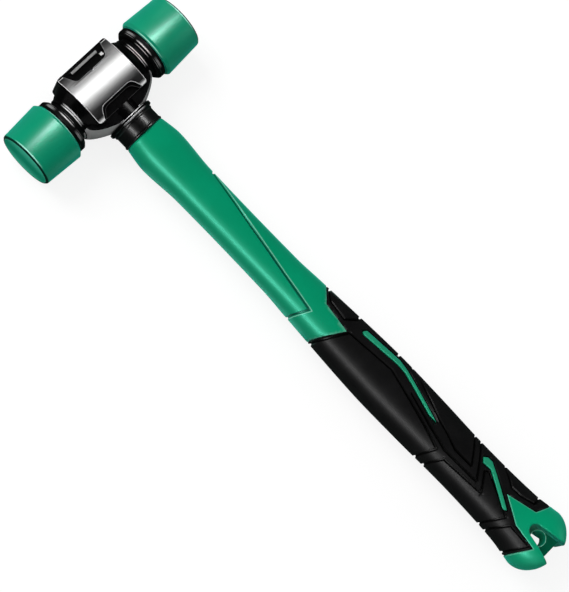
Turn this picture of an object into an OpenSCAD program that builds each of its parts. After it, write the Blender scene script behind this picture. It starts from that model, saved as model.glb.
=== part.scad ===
// Soft face hammer with screw-in nylon faces and a moulded two-colour handle.
// It lies on its side: +X runs from the head to the butt, +Y along the head, +Z up through a cheek.

/* [Head] */
// Length of the boxed middle of the head, along the head
barrel_l = 26; // [22:0.5:30]
// Height of the barrel above the eye axis
barrel_top = 13.9; // [13.6:0.1:16]
// Depth of the barrel below the eye axis
barrel_low = 10.5; // [9.5:0.1:12]
// Thickness of the barrel across its two crowned cheeks
cheek_t = 25.6; // [23:0.1:26.5]
// Radius of the crown on a cheek
cheek_r = 29; // [26:0.5:40]
// Diameter where the shoulder leaves the barrel
shoulder_d = 25.2; // [23:0.1:25.4]
// Length of the tapered shoulder
shoulder_l = 4.2; // [3:0.1:6]
// Diameter of the turned ring at the foot of the shoulder
ring_d = 20; // [19.4:0.1:21]
// Width of the turned ring
ring_w = 1.4; // [1:0.1:2]
// Diameter of the neck
neck_d = 18.4; // [17:0.1:19]
// Width of the neck between the ring and the flange
neck_w = 1.5; // [1:0.1:2.5]
// Diameter of the flange that a face seats on
flange_d = 24.2; // [22:0.1:26]
// Width of the flange
flange_w = 3.6; // [3:0.1:5]
// Chamfer on the neck side of the flange
flange_bevel = 1.1; // [0.5:0.1:1.3]
// Length of each side that the rounding of the barrel's corners takes
barrel_corner = 1.2; // [0.8:0.1:2]
// Break on the sharp turned edges
edge_break = 0.4; // [0.2:0.1:0.5]

/* [Cheek pockets] */
// Distance from the eye axis to the upper pocket's lower wall
top_pocket_x = 7.7; // [7.2:0.1:9]
// Length of the upper pocket at its wall
top_pocket_l = 16; // [14:0.5:17]
// Depth of the upper pocket below the cheek's crown
top_pocket_d = 4.6; // [4:0.1:5]
// Distance from the eye axis to the outer side of the bar in the upper pocket
top_bar_x = 12.5; // [12:0.1:13]
// Width of that bar
top_bar_w = 1.4; // [1:0.1:1.8]
// Length of that bar
top_bar_l = 13.8; // [12:0.2:15]
// Depth of the bar's top below the cheek's crown
top_bar_d = 3.3; // [3:0.1:3.8]
// Distance from the eye axis to the lower pocket's upper wall
low_pocket_x = 5.8; // [5:0.1:6.5]
// Length of the lower pocket at its wall
low_pocket_l = 15.6; // [14:0.1:17]
// Depth of the lower pocket below the cheek's crown
low_pocket_d = 2.5; // [2.2:0.1:2.8]
// Depth of the lower pocket's second step below the cheek's crown
low_step_d = 4; // [3.4:0.1:4.4]
// Width of the ledge round that second step
low_ledge_w = 1.1; // [0.8:0.1:1.6]
// Length that a pocket's ends run out by
pocket_runout = 2.5; // [2:0.1:3]
// Length of each side that the rounding of a pocket's corner takes
pocket_round = 1.8; // [1:0.1:2.2]
// Depth of the centre notch in the upper pocket's wall
pocket_notch = 0.6; // [0.4:0.1:0.8]

/* [Eye] */
// Greatest diameter of the turned flare under the head
flare_d = 37.8; // [34:0.1:38.4]
// Thickness that the flare is milled to, between the cheeks
flare_t = 16.4; // [14:0.1:18]
// Distance from the eye axis to where the flare begins to close
flare_x = 8; // [7:0.1:9]
// Length that the flare closes over
flare_l = 7.2; // [6.5:0.1:8]
// Diameter of the boss below the flare
boss_d = 19.2; // [18.4:0.1:20]
// Diameter of the sharp lip at the eye's mouth
lip_d = 20.8; // [20.2:0.1:22]
// Width of the lip
lip_w = 1.6; // [1.2:0.1:2]
// Depth of the eye above the eye axis
eye_top = 9; // [7:0.1:10]

/* [Faces] */
// Diameter of a striking face at its rim
face_d = 27; // [26.8:0.1:27.6]
// Diameter of a striking face at its end
face_end_d = 25; // [23:0.1:26]
// Length of a striking face
face_l = 18.5; // [17.5:0.1:22]
// Diameter of a face where it seats on the flange
face_seat_d = 24.4; // [23:0.1:25]
// Length of the bevel behind the rim
rim_bevel = 1.3; // [0.8:0.1:1.6]
// Width of the raised rim
rim_w = 0.9; // [0.6:0.1:1.2]
// Height of the raised rim
rim_h = 0.25; // [0.15:0.05:0.4]
// Rounding of the striking edge
face_edge_r = 0.9; // [0.5:0.1:1.5]

/* [Face screws] */
// Thread diameter of the steel stud in a face
stud_d = 10; // [8:0.5:11]
// Thread pitch of the stud
stud_pitch = 1.5; // [1.25:0.25:1.5]
// Turns of thread that hold a face in the head
stud_turns = 8; // [6:1:8]
// Depth that the stud is moulded into the face
stud_grip = 11.5; // [10:0.5:12]
// Diameter of the stud's moulded-in head
stud_head_d = 15; // [13:0.5:17]
// Thickness of the stud's moulded-in head
stud_head_l = 4; // [3:0.5:5]
// Diameter of the lock washer under a face
washer_d = 16.4; // [15:0.1:18]
// Thickness of the lock washer
washer_t = 1.6; // [1.2:0.1:2]

/* [Core and collar] */
// Diameter of the glass-fibre core rod
rod_d = 10; // [8:0.1:11]
// Length of the core rod below the eye axis
rod_l = 206; // [150:1:215]
// Thickness of the bond between the rod and the eye
bond_t = 1.2; // [0.8:0.1:1.6]
// Diameter of the collar
collar_d = 19; // [18:0.1:20]
// Length of the collar
collar_l = 7; // [5:0.1:9]

/* [Handle] */
// Length of the moulded handle from collar to butt
handle_l = 232.5; // [226:0.5:256]
// Width at the collar
throat_w = 18.2; // [17:0.1:19]
// Width of the swell below the collar
swell_w = 20.7; // [19.5:0.1:22]
// Thickness of the swell below the collar
swell_t = 18; // [17:0.1:19.5]
// Width of the shaft
shaft_w = 18.4; // [17.5:0.1:20]
// Width at the start of the grip
rise_w = 19.8; // [19:0.1:21]
// Thickness at the start of the grip
rise_t = 17.4; // [16.5:0.1:18.5]
// Width of the grip's belly
belly_w = 24; // [23:0.1:26]
// Width of the grip's waist
waist_w = 23; // [22:0.1:24]
// Width ahead of the butt
heel_w = 24.7; // [24:0.1:26]
// Thickness ahead of the butt
heel_t = 21; // [20:0.1:22]
// Width of the butt
butt_w = 28.3; // [26.5:0.1:29]
// Thickness at the collar
throat_t = 16.8; // [16:0.1:18]
// Thickness of the shaft
shaft_t = 15.6; // [15:0.1:17]
// Thickness of the grip's belly
belly_t = 20.6; // [19.5:0.1:22]
// Thickness of the grip's waist
waist_t = 19.8; // [19:0.1:21]
// Thickness of the butt
butt_t = 22.4; // [21.5:0.1:23.5]
// Depth of the moulded line on the shaft
line_d = 0.6; // [0.4:0.1:0.8]
// Width of the moulded line on the shaft
line_w = 1; // [0.7:0.1:1.3]

/* [Grip] */
// Thickness of the rubber over the jacket
grip_wall = 1.9; // [1.6:0.1:2.4]
// Depth of the grooves between the grip's pads
groove_d = 0.7; // [0.5:0.1:0.9]
// Width of the grooves between the grip's pads
groove_w = 0.9; // [0.6:0.1:1.1]
// Width of the moat round each coloured inlay
moat_w = 0.5; // [0.3:0.1:0.6]

/* [Hanging slot] */
// Width of the slot in the butt at its round end
slot_w = 5.8; // [5.6:0.1:6.4]
// Width of the slot at its mouth
slot_mouth_w = 10.8; // [10.2:0.1:11.4]
// Distance from the butt's end to the slot's round end
slot_l = 15.6; // [15:0.1:16.5]
// Thickness of the web left in the slot
web_t = 9; // [8:0.1:11]
// Distance from the butt's end to the edge of the web
web_back = 2.5; // [1.5:0.1:3.5]
// Diameter of the hanging hole
hole_d = 6.5; // [5.5:0.1:6.6]
// Distance from the butt's end to the hanging hole
hole_back = 9.3; // [8.8:0.1:9.4]

/* [Fits] */
// Clearance round a stud in its tapped hole
thread_gap = 0.08; // [0.04:0.01:0.1]
// Clearance round a lock washer and its stud
washer_gap = 0.3; // [0.2:0.05:0.4]
// Clearance round the core rod and its bond
snug_gap = 0.02; // [0.01:0.01:0.05]

/* [Hidden] */
$fn = 96;

// Overrun that lets a cut pass right through a face
overrun = 40;

// Stations along the head, measured from its middle
ring_y = barrel_l / 2 + shoulder_l;
neck_y = ring_y + ring_w;
flange_y = neck_y + neck_w;
seat_y = flange_y + flange_w;
screw_l = stud_pitch * stud_turns;

// Stations along the handle, measured from the eye axis
flare_end = flare_x + flare_l;
lip_x = flare_end + edge_break;
collar_x = lip_x + lip_w;
handle_x = collar_x + collar_l;
butt_x = handle_x + handle_l;
eye_d = rod_d + bond_t * 2;

// The origin is under the middle of the hammer as it lies on its faces
frame_shift = [(max(barrel_top, face_d / 2) - butt_x) / 2, 0, face_d / 2];

// Handle sections: their shares of its length, and the width and thickness at each
butt_share = 0.957;
section_shares = [0, 0.042, 0.12, 0.33, 0.385, 0.56, 0.67, 0.79, 0.905, butt_share];
section_ws = [throat_w, swell_w, shaft_w, shaft_w, rise_w, belly_w, belly_w, waist_w, heel_w, butt_w];
section_ts = [throat_t, swell_t, shaft_t, shaft_t, rise_t, belly_t, belly_t, waist_t, heel_t, butt_t];

// How square a handle section is, and how the butt rounds off over its last stretch
section_power = 2.4;
butt_close_share = 0.87;
butt_thin_share = 0.5;

// Rings of the handle's surface: even steps to the butt, then closer ones round its end
ring_points = 28;
body_steps = 42;
butt_steps = 6;
body_shares = [for (i = [0:body_steps]) butt_share * i / body_steps];
skin_shares = concat(body_shares,
    [for (i = [1:butt_steps]) butt_share + (1 - butt_share) * sin(90 * i / butt_steps)]);
grip_start_share = 0.37;
grip_shares = [for (s = body_shares) if (s > grip_start_share) s];

// The grip's wall runs out to the depth of the shaft's moulded line ahead of the grip
thin_share = 0.34;
full_share = 0.42;

// Outlines on the handle as [share of its length, share of half the belly's width]
collar_end_shares = [[-0.02, -1.3], [-0.02, 1.3]];
butt_end_shares = [[1.02, -1.3], [1.02, 1.3]];
shaft_line_shares = [[0.123, 0.95], [0.13, 0.665], [0.408, -0.3], [0.389, -0.95]];
front_edge_shares = [
    [0.399, 1.3], [0.402, 0.72], [0.421, 0.27], [0.478, 0.1], [0.446, -0.9], [0.443, -1.3],
];
rear_edge_shares = [
    [0.94, 1.3], [0.936, 1], [0.923, 0.46], [0.866, 0.18],
    [0.913, -0.35], [0.963, -0.5], [0.943, -1.12], [0.941, -1.3],
];
inlay_shares = [
    [[0.498, 0.525], [0.502, 0.65], [0.578, 0.767], [0.599, 0.696], [0.694, 0.14],
        [0.677, 0.137], [0.599, 0.579], [0.582, 0.608], [0.502, 0.467]],
    [[0.794, 0.517], [0.8, 0.617], [0.81, 0.633], [0.817, 0.558], [0.885, -0.217],
        [0.88, -0.287], [0.875, -0.258], [0.817, 0.396], [0.8, 0.367]],
];
groove_shares = [
    [[0.407, 1.3], [0.409, 0.725], [0.414, 0.6], [0.423, 0.45], [0.461, 0.333], [0.478, 0.683], [0.481, 1.3]],
    [[0.45, -1.3], [0.452, -0.89], [0.484, 0.13], [0.578, 0.29], [0.682, -0.225], [0.727, -0.467],
        [0.714, -0.96], [0.712, -1.3]],
    [[0.569, 0.84], [0.577, 1.3]],
    [[0.599, 1.3], [0.604, 0.96], [0.694, 0.29], [0.724, 0.133], [0.75, -0.05], [0.79, -0.04],
        [0.763, 0.74], [0.759, 1.3]],
    [[0.63, 0.215], [0.694, -0.125], [0.737, -0.31], [0.814, -0.283], [0.778, 0.75], [0.774, 1.3]],
    [[0.733, -1.3], [0.734, -0.95], [0.748, -0.525], [0.833, -0.425], [0.81, 0.21], [0.819, 0.267],
        [0.892, -0.41], [0.873, -0.967], [0.872, -1.3]],
    [[0.888, -1.3], [0.889, -0.96], [0.908, -0.475], [0.954, -0.533], [0.936, -1.09], [0.934, -1.3]],
    [[0.831, 1.3], [0.837, 0.825], [0.864, 0.467], [0.885, 0.475], [0.912, 0.64], [0.917, 1.3]],
];

// Point on the handle's plan from an outline's shares
function on_plan(share) = [handle_x + handle_l * share[0], belly_w / 2 * share[1]];
function plan(shares) = [for (s = shares) on_plan(s)];
function reversed(list) = [for (i = [len(list) - 1:-1:0]) list[i]];

// Smooth curve through the handle's sections, with each section's slope taken from its neighbours
function slope(values, i) =
    let (a = max(i - 1, 0), b = min(i + 1, len(values) - 1))
    (values[b] - values[a]) / (section_shares[b] - section_shares[a]);
function last_before(share) = max([for (i = [0:len(section_shares) - 2]) if (section_shares[i] <= share) i]);
function smooth(values, share) =
    let (
        i = last_before(min(share, butt_share)),
        h = section_shares[i + 1] - section_shares[i],
        f = (min(share, butt_share) - section_shares[i]) / h
    )
    values[i] * (1 + 2 * f) * pow(1 - f, 2) + values[i + 1] * f * f * (3 - 2 * f)
    + h * slope(values, i) * f * pow(1 - f, 2) - h * slope(values, i + 1) * f * f * (1 - f);

// One ring of the handle's surface, set in from the skin
function butt_run(share) = max(share - butt_share, 0) / (1 - butt_share);
function half_w(share) = smooth(section_ws, share) / 2 * sqrt(1 - pow(butt_close_share * butt_run(share), 2));
function half_t(share) = smooth(section_ts, share) / 2 * sqrt(1 - pow(butt_thin_share * butt_run(share), 2));
function squared(c) = sign(c) * pow(abs(c), 2 / section_power);
function ring(share, inset) = [
    for (j = [0:ring_points - 1])
        let (a = 360 * (j + 1 / 2) / ring_points)
        [
            handle_x + handle_l * share,
            (half_w(share) - inset) * squared(cos(a)),
            (half_t(share) - inset) * squared(sin(a)),
        ]
];
function wall_inset(share) = lookup(share, [[thin_share, line_d], [full_share, grip_wall]]);

// Strip of even width along a path, with mitred corners
function unit(v) = v / norm(v);
function left(v) = [-v[1], v[0]];
function edge(p, i) = unit(p[(i + 1) % len(p)] - p[i]);
function mitre(p, i, loop) =
    let (
        last = len(p) - 1,
        back = edge(p, i > 0 ? i - 1 : loop ? last : 0),
        ahead = edge(p, i < last || loop ? i : last - 1),
        m = unit(left(back) + left(ahead))
    )
    m / (m * left(back));
function beside(p, w, loop) = [for (i = [0:len(p) - 1]) p[i] + mitre(p, i, loop) * w];
function strip(p, w) = concat(beside(p, w / 2, false), reversed(beside(p, -w / 2, false)));

// Outline with each corner eased over a length of its two sides
function eased(p, length) = [
    for (i = [0:len(p) - 1])
        let (start = p[i] - edge(p, (i + len(p) - 1) % len(p)) * length, end = p[i] + edge(p, i) * length)
        for (f = [0:1 / 5:1])
            start * pow(1 - f, 2) + p[i] * 2 * f * (1 - f) + end * f * f
];

// Outline of a pocket from its wall at x out past the barrel's end, with ends that run out
function pocket_outline(x, half_l, end_x) = eased([
    [x, -half_l],
    [end_x, -half_l - pocket_runout],
    [end_x + sign(x) * overrun, -half_l - pocket_runout],
    [end_x + sign(x) * overrun, half_l + pocket_runout],
    [end_x, half_l + pocket_runout],
    [x, half_l],
], pocket_round);

// Solid between the rings of the handle, set in from its skin by the given amounts
module loft(shares, insets) {
    n = ring_points;
    last = len(shares) - 1;
    sides = [
        for (i = [0:last - 1], j = [0:n - 1])
            let (k = (j + 1) % n)
            [i * n + j, (i + 1) * n + j, (i + 1) * n + k, i * n + k]
    ];
    caps = [[for (j = [0:n - 1]) j], [for (j = [n - 1:-1:0]) last * n + j]];
    polyhedron(
        points = [for (i = [0:last]) each ring(shares[i], insets[i])],
        faces = concat(caps, sides)
    );
}

module skin(shares) {
    loft(shares, [for (s = shares) 0]);
}

// The jacket's own surface under the rubber
module jacket_core(shares) {
    loft(shares, [for (s = shares) wall_inset(s)]);
}

// Flat outline carried through the whole thickness of the handle
module through_handle() {
    translate([0, 0, -butt_t])
        linear_extrude(butt_t * 2)
            children();
}

module framed() {
    translate(frame_shift)
        children();
}

// Turns a profile about the head's axis: side is 1 for the far end and -1 for the near end
module on_head(side) {
    rotate([-90 * side, 0, 0])
        children();
}

// Turns a profile about the handle's axis
module on_handle() {
    rotate([0, 90, 0])
        children();
}

// Barrel with crowned cheeks and rounded corners
module barrel() {
    intersection() {
        through_handle()
            polygon(eased([
                [-barrel_top, -barrel_l / 2],
                [barrel_low, -barrel_l / 2],
                [barrel_low, barrel_l / 2],
                [-barrel_top, barrel_l / 2],
            ], barrel_corner));
        rotate([90, 0, 0])
            linear_extrude(barrel_l + overrun, center = true)
                intersection_for(side = [-1, 1])
                    translate([0, side * (cheek_t / 2 - cheek_r)])
                        circle(cheek_r);
    }
}

// Shoulder, turned ring, neck and flange at one end
module head_end() {
    root_y = barrel_l / 2 - edge_break;
    rotate_extrude()
        polygon([
            [0, root_y - shoulder_l],
            [neck_d / 2, root_y - shoulder_l],
            [shoulder_d / 2, root_y],
            [shoulder_d / 2, barrel_l / 2],
            [ring_d / 2, ring_y],
            [ring_d / 2 - edge_break, ring_y],
            [ring_d / 2 - edge_break, ring_y + edge_break],
            [ring_d / 2, ring_y + edge_break],
            [ring_d / 2, neck_y - edge_break],
            [neck_d / 2, neck_y],
            [neck_d / 2, flange_y],
            [flange_d / 2 - flange_bevel, flange_y],
            [flange_d / 2, flange_y + flange_bevel],
            [flange_d / 2, seat_y - edge_break],
            [flange_d / 2 - edge_break, seat_y],
            [0, seat_y],
        ]);
}

// Flare under the barrel, milled flat on both cheeks, with the round boss and lip at the eye's mouth
module eye_boss() {
    flare_power = 1.7;
    flare_steps = 8;
    boss_r = boss_d / 2;
    intersection() {
        on_handle()
            rotate_extrude()
                polygon(concat(
                    [[0, flare_x / 2], [flare_d / 2, flare_x / 2]],
                    [
                        for (i = [0:flare_steps])
                            let (s = i / flare_steps)
                            [
                                boss_r + (flare_d / 2 - boss_r) * (1 - pow(s, flare_power)),
                                flare_x + flare_l * s,
                            ]
                    ],
                    [[0, flare_end]]
                ));
        cube([overrun * 2, flare_d + overrun, flare_t], center = true);
    }
    on_handle()
        rotate_extrude()
            polygon([
                [0, flare_x / 2],
                [boss_r - edge_break, flare_x / 2],
                [boss_r - edge_break, lip_x - edge_break],
                [lip_d / 2, lip_x],
                [lip_d / 2, collar_x - edge_break],
                [lip_d / 2 - edge_break, collar_x],
                [0, collar_x],
            ]);
}

// Stepped pockets in one cheek, above and below the polished panel
module cheek_pockets() {
    crown_z = cheek_t / 2;
    // upper pocket, with a centre notch in its wall and a bar standing in it
    difference() {
        translate([0, 0, crown_z - top_pocket_d])
            linear_extrude(overrun) {
                polygon(pocket_outline(-top_pocket_x, top_pocket_l / 2, -barrel_top));
                translate([-top_pocket_x, 0])
                    polygon([[-pocket_notch, -pocket_notch * 2], [pocket_notch, 0], [-pocket_notch, pocket_notch * 2]]);
            }
        translate([-top_bar_x, -top_bar_l / 2, 0])
            cube([top_bar_w, top_bar_l, crown_z - top_bar_d]);
    }
    // lower pocket, with a second step inside a ledge
    translate([0, 0, crown_z - low_pocket_d])
        linear_extrude(overrun)
            polygon(pocket_outline(low_pocket_x, low_pocket_l / 2, barrel_low));
    translate([0, 0, crown_z - low_step_d])
        linear_extrude(overrun)
            polygon(pocket_outline(low_pocket_x + low_ledge_w, low_pocket_l / 2 - low_ledge_w, barrel_low));
}

module head_body() {
    color([0.16, 0.16, 0.17])
        framed()
            difference() {
                union() {
                    difference() {
                        barrel();
                        for (side = [0, 1])
                            mirror([0, 0, side])
                                cheek_pockets();
                    }
                    for (side = [-1, 1])
                        on_head(side)
                            head_end();
                    eye_boss();
                }
                // eye for the handle's core
                translate([-eye_top, 0, 0])
                    on_handle()
                        cylinder(d = eye_d, h = eye_top + collar_x + overrun);
                // tapped holes for the two faces
                for (side = [-1, 1])
                    on_head(side)
                        translate([0, 0, seat_y - screw_l - edge_break])
                            cylinder(r = stud_d / 2 + thread_gap, h = screw_l + overrun);
            }
}

// Steel stud with a broad head that the nylon is moulded round: zero is the seat
module stud() {
    rotate_extrude()
        polygon([
            [0, -screw_l],
            [stud_d / 2 - edge_break, -screw_l],
            [stud_d / 2, edge_break - screw_l],
            [stud_d / 2, stud_grip - stud_head_l],
            [stud_head_d / 2, stud_grip - stud_head_l],
            [stud_head_d / 2, stud_grip],
            [0, stud_grip],
        ]);
}

// Tapered nylon face with a bevelled, raised rim: zero is the seat
module face() {
    arc_steps = 5;
    difference() {
        rotate_extrude()
            polygon(concat(
                [
                    [0, 0],
                    [face_seat_d / 2, 0],
                    [face_d / 2, rim_bevel],
                    [face_d / 2, rim_bevel + rim_w],
                    [face_d / 2 - rim_h, rim_bevel + rim_w + rim_h],
                ],
                [
                    for (i = [0:arc_steps])
                        let (a = 90 * i / arc_steps)
                        [
                            face_end_d / 2 - face_edge_r + face_edge_r * cos(a),
                            face_l - face_edge_r + face_edge_r * sin(a),
                        ]
                ],
                [[0, face_l]]
            ));
        stud();
        // seat for the lock washer
        translate([0, 0, -overrun])
            cylinder(r = washer_d / 2 + washer_gap, h = overrun + washer_t);
    }
}

module washer() {
    difference() {
        cylinder(d = washer_d, h = washer_t);
        translate([0, 0, -overrun])
            cylinder(r = stud_d / 2 + washer_gap, h = overrun * 2);
    }
}

// Carries a piece of a screw-in face to its seat
module at_seat(side) {
    framed()
        on_head(side)
            translate([0, 0, seat_y])
                children();
}

module face_near() {
    color([0.02, 0.57, 0.4])
        at_seat(-1)
            face();
}

module face_far() {
    color([0.02, 0.57, 0.4])
        at_seat(1)
            face();
}

module stud_near() {
    color([0.6, 0.6, 0.62])
        at_seat(-1)
            stud();
}

module stud_far() {
    color([0.6, 0.6, 0.62])
        at_seat(1)
            stud();
}

module washer_near() {
    color([0.5, 0.5, 0.52])
        at_seat(-1)
            washer();
}

module washer_far() {
    color([0.5, 0.5, 0.52])
        at_seat(1)
            washer();
}

// Bond that fills the eye round the rod
module eye_bond() {
    color([0.75, 0.68, 0.45])
        framed()
            translate([-eye_top, 0, 0])
                on_handle()
                    difference() {
                        cylinder(r = eye_d / 2 - snug_gap, h = eye_top + lip_x);
                        translate([0, 0, -overrun])
                            cylinder(r = rod_d / 2 + snug_gap, h = eye_top + lip_x + overrun * 2);
                    }
}

module core_rod() {
    color([0.8, 0.78, 0.66])
        framed()
            translate([-eye_top, 0, 0])
                on_handle()
                    cylinder(d = rod_d, h = eye_top + rod_l);
}

// Black ferrule between the head and the moulded handle
module collar() {
    color([0.07, 0.07, 0.07])
        framed()
            on_handle()
                difference() {
                    rotate_extrude()
                        polygon([
                            [0, collar_x],
                            [collar_d / 2 - edge_break, collar_x],
                            [collar_d / 2, collar_x + edge_break],
                            [collar_d / 2, handle_x - edge_break],
                            [collar_d / 2 - edge_break, handle_x],
                            [0, handle_x],
                        ]);
                    cylinder(r = rod_d / 2 + snug_gap, h = handle_x + overrun);
                }
}

// Plan of the jacket where it shows: the shaft, the butt and the inlays
module jacket_plan() {
    difference() {
        polygon(plan(concat(collar_end_shares, front_edge_shares)));
        polygon(strip(plan(shaft_line_shares), line_w));
    }
    polygon(plan(concat(rear_edge_shares, butt_end_shares)));
    for (inlay = inlay_shares)
        polygon(plan(inlay));
}

// Plan of the rubber, with windows for the inlays
module grip_plan() {
    difference() {
        polygon(plan(concat(front_edge_shares, reversed(rear_edge_shares))));
        for (inlay = inlay_shares)
            polygon(plan(inlay));
    }
}

// Plan of the grooves between the pads and round the inlays
module groove_plan() {
    for (path = groove_shares)
        polygon(strip(plan(path), groove_w));
    for (inlay = inlay_shares)
        polygon(beside(plan(inlay), moat_w, true));
}

// Plan of the slot that opens at the butt's end
module slot_plan() {
    slot_x = butt_x - slot_l + slot_w / 2;
    translate([slot_x, 0])
        circle(d = slot_w);
    polygon([
        [slot_x, -slot_w / 2],
        [butt_x, -slot_mouth_w / 2],
        [butt_x + web_back, -slot_mouth_w / 2],
        [butt_x + web_back, slot_mouth_w / 2],
        [butt_x, slot_mouth_w / 2],
        [slot_x, slot_w / 2],
    ]);
}

// The slot on both sides of its web, the end past the web, and the hanging hole through the web
module hanging_slot() {
    for (side = [0, 1])
        mirror([0, 0, side])
            translate([0, 0, web_t / 2])
                linear_extrude(butt_t)
                    slot_plan();
    through_handle()
        intersection() {
            slot_plan();
            translate([butt_x - web_back, -butt_w])
                square([web_back * 2, butt_w * 2]);
        }
    translate([butt_x - hole_back, 0, -butt_t])
        cylinder(d = hole_d, h = butt_t * 2);
}

module handle_jacket() {
    color([0.02, 0.57, 0.4])
        framed()
            difference() {
                union() {
                    jacket_core(body_shares);
                    intersection() {
                        skin(skin_shares);
                        through_handle()
                            jacket_plan();
                    }
                }
                on_handle()
                    cylinder(r = rod_d / 2 + snug_gap, h = rod_l);
                hanging_slot();
            }
}

module grip() {
    color([0.07, 0.07, 0.07])
        framed()
            difference() {
                union() {
                    intersection() {
                        skin(grip_shares);
                        through_handle()
                            difference() {
                                grip_plan();
                                groove_plan();
                            }
                    }
                    intersection() {
                        loft(grip_shares, [for (s = grip_shares) groove_d]);
                        through_handle()
                            grip_plan();
                    }
                }
                jacket_core(grip_shares);
            }
}

head_body();
face_near();
face_far();
stud_near();
stud_far();
washer_near();
washer_far();
eye_bond();
core_rod();
collar();
handle_jacket();
grip();
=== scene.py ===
# %% [markdown]
# # A soft face hammer
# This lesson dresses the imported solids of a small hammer: a black steel head, a green nylon face screwed into each
# end, and a moulded handle of green plastic with black rubber pads. The solids fix every size and place. Each cell
# below takes one piece of the hammer and gives it the rounded edges and finish that the real one has.

import math

import bmesh
import bpy
import numpy as np
from mathutils import Matrix, Vector, kdtree
from mathutils.geometry import delaunay_2d_cdt


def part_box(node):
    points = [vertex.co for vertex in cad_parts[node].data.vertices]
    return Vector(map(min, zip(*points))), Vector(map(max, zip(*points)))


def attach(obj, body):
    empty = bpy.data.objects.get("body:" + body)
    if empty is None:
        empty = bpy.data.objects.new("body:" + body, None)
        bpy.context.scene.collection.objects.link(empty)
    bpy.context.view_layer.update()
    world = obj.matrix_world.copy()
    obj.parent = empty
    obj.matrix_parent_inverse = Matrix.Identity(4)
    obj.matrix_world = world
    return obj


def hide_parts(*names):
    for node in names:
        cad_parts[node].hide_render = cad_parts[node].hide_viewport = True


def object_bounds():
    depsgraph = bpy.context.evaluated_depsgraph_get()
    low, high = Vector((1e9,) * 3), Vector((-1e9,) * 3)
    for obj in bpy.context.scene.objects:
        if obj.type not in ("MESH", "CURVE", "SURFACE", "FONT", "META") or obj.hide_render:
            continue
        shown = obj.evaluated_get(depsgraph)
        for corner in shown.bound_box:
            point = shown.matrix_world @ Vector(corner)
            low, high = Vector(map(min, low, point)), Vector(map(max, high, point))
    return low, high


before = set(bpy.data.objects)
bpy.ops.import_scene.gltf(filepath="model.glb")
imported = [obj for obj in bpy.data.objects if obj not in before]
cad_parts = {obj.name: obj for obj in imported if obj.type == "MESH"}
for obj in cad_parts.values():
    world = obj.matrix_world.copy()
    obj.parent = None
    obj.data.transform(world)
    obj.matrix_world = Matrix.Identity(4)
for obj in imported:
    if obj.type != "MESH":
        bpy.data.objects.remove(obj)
cad_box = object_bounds()
scene = bpy.context.scene

# %% [markdown]
# ## One place to measure from
# A hammer is measured from its eye, where the handle's axis crosses the head's axis. The core rod lies on that axis,
# so its box gives the eye's place. Shapes below are written in millimetres from the eye and then placed.

# %% The eye
MM = 0.001
ROD_ABOVE_EYE = 9
rod_low, rod_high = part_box("core_rod")
EYE = np.array([rod_low[0] + ROD_ABOVE_EYE * MM, (rod_low[1] + rod_high[1]) / 2, (rod_low[2] + rod_high[2]) / 2])


def placed(points):
    """Points in millimetres from the eye, as places in the shared frame."""
    return EYE + np.asarray(points, dtype=float) * MM


print("eye at", [round(float(v), 4) for v in EYE])

# %% [markdown]
# ## Camera
# The photograph looks down on the lying hammer from a little way towards the near face, with the handle running down
# to the right. A long lens keeps the two ends nearly the same size. The camera is built from three directions: the
# line of sight, the picture's up and its right.

# %% Camera
PICTURE_H = 592
FOCAL_PX, OFFSET_X_PX, OFFSET_Y_PX = 2523.5, -28.2, 12.8
SENSOR = 36
TOWARDS_NEAR, TOWARDS_BUTT, ROLL = math.radians(14.5), math.radians(-2.2), math.radians(45.1)
TARGET_X, STAND_OFF = -0.0014, 1.0


def added(name, data):
    """New object in the scene that holds some data."""
    made = bpy.data.objects.new(name, data)
    scene.collection.objects.link(made)
    return made


def standing(place, *axes):
    """Matrix that stands an object at a place, with its own axes along three directions."""
    return Matrix.Translation(place) @ Matrix(axes).transposed().to_4x4()


sight = Vector((math.tan(TOWARDS_BUTT), -math.tan(TOWARDS_NEAR), 1)).normalized()
up = Vector((-math.cos(ROLL), math.sin(ROLL), 0))
up = (up - sight * up.dot(sight)).normalized()
lens = bpy.data.cameras.new("camera")
lens.sensor_fit = "AUTO"
lens.sensor_width = SENSOR
lens.lens = FOCAL_PX * SENSOR / PICTURE_H
lens.shift_x, lens.shift_y = OFFSET_X_PX / PICTURE_H, OFFSET_Y_PX / PICTURE_H
lens.clip_start, lens.clip_end = 0.05, 60
scene.camera = added("camera", lens)
scene.camera.matrix_world = standing(Vector((TARGET_X, 0, EYE[2])) + sight * STAND_OFF, up.cross(sight), up, sight)
scene.view_settings.view_transform = "Standard"
print("lens", round(lens.lens, 1), "mm")

# %% [markdown]
# ## Nodes that read like sums
# A material or a geometry tree is a graph of small nodes. A Wire holds one output of a node and knows its tree, so a
# sum, product or comparison of Wires can add the Math node that works it out. The other helpers add a node and fill
# its sockets, each with a Wire or a plain value. Every tree below is built with them.

# %% Node helpers
MIX_A, MIX_B, MIX_COLOUR = 6, 7, 2


class Wire:
    """One output of a node. Sums and comparisons of Wires add Math nodes to their tree."""

    def __init__(self, tree, socket):
        self.tree, self.socket = tree, socket

    def math(self, operation, *others):
        return wire(self.tree, "ShaderNodeMath", dict(enumerate((self, *others))), operation=operation)

    def __rsub__(self, number):
        return wire(self.tree, "ShaderNodeMath", {0: number, 1: self}, operation="SUBTRACT")

    def __add__(self, other):
        return self.math("ADD", other)

    def __sub__(self, other):
        return self.math("SUBTRACT", other)

    def __mul__(self, other):
        return self.math("MULTIPLY", other)

    def __truediv__(self, other):
        return self.math("DIVIDE", other)

    def __lt__(self, other):
        return self.math("LESS_THAN", other)

    def __gt__(self, other):
        return self.math("GREATER_THAN", other)

    def __abs__(self):
        return self.math("ABSOLUTE")


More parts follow.
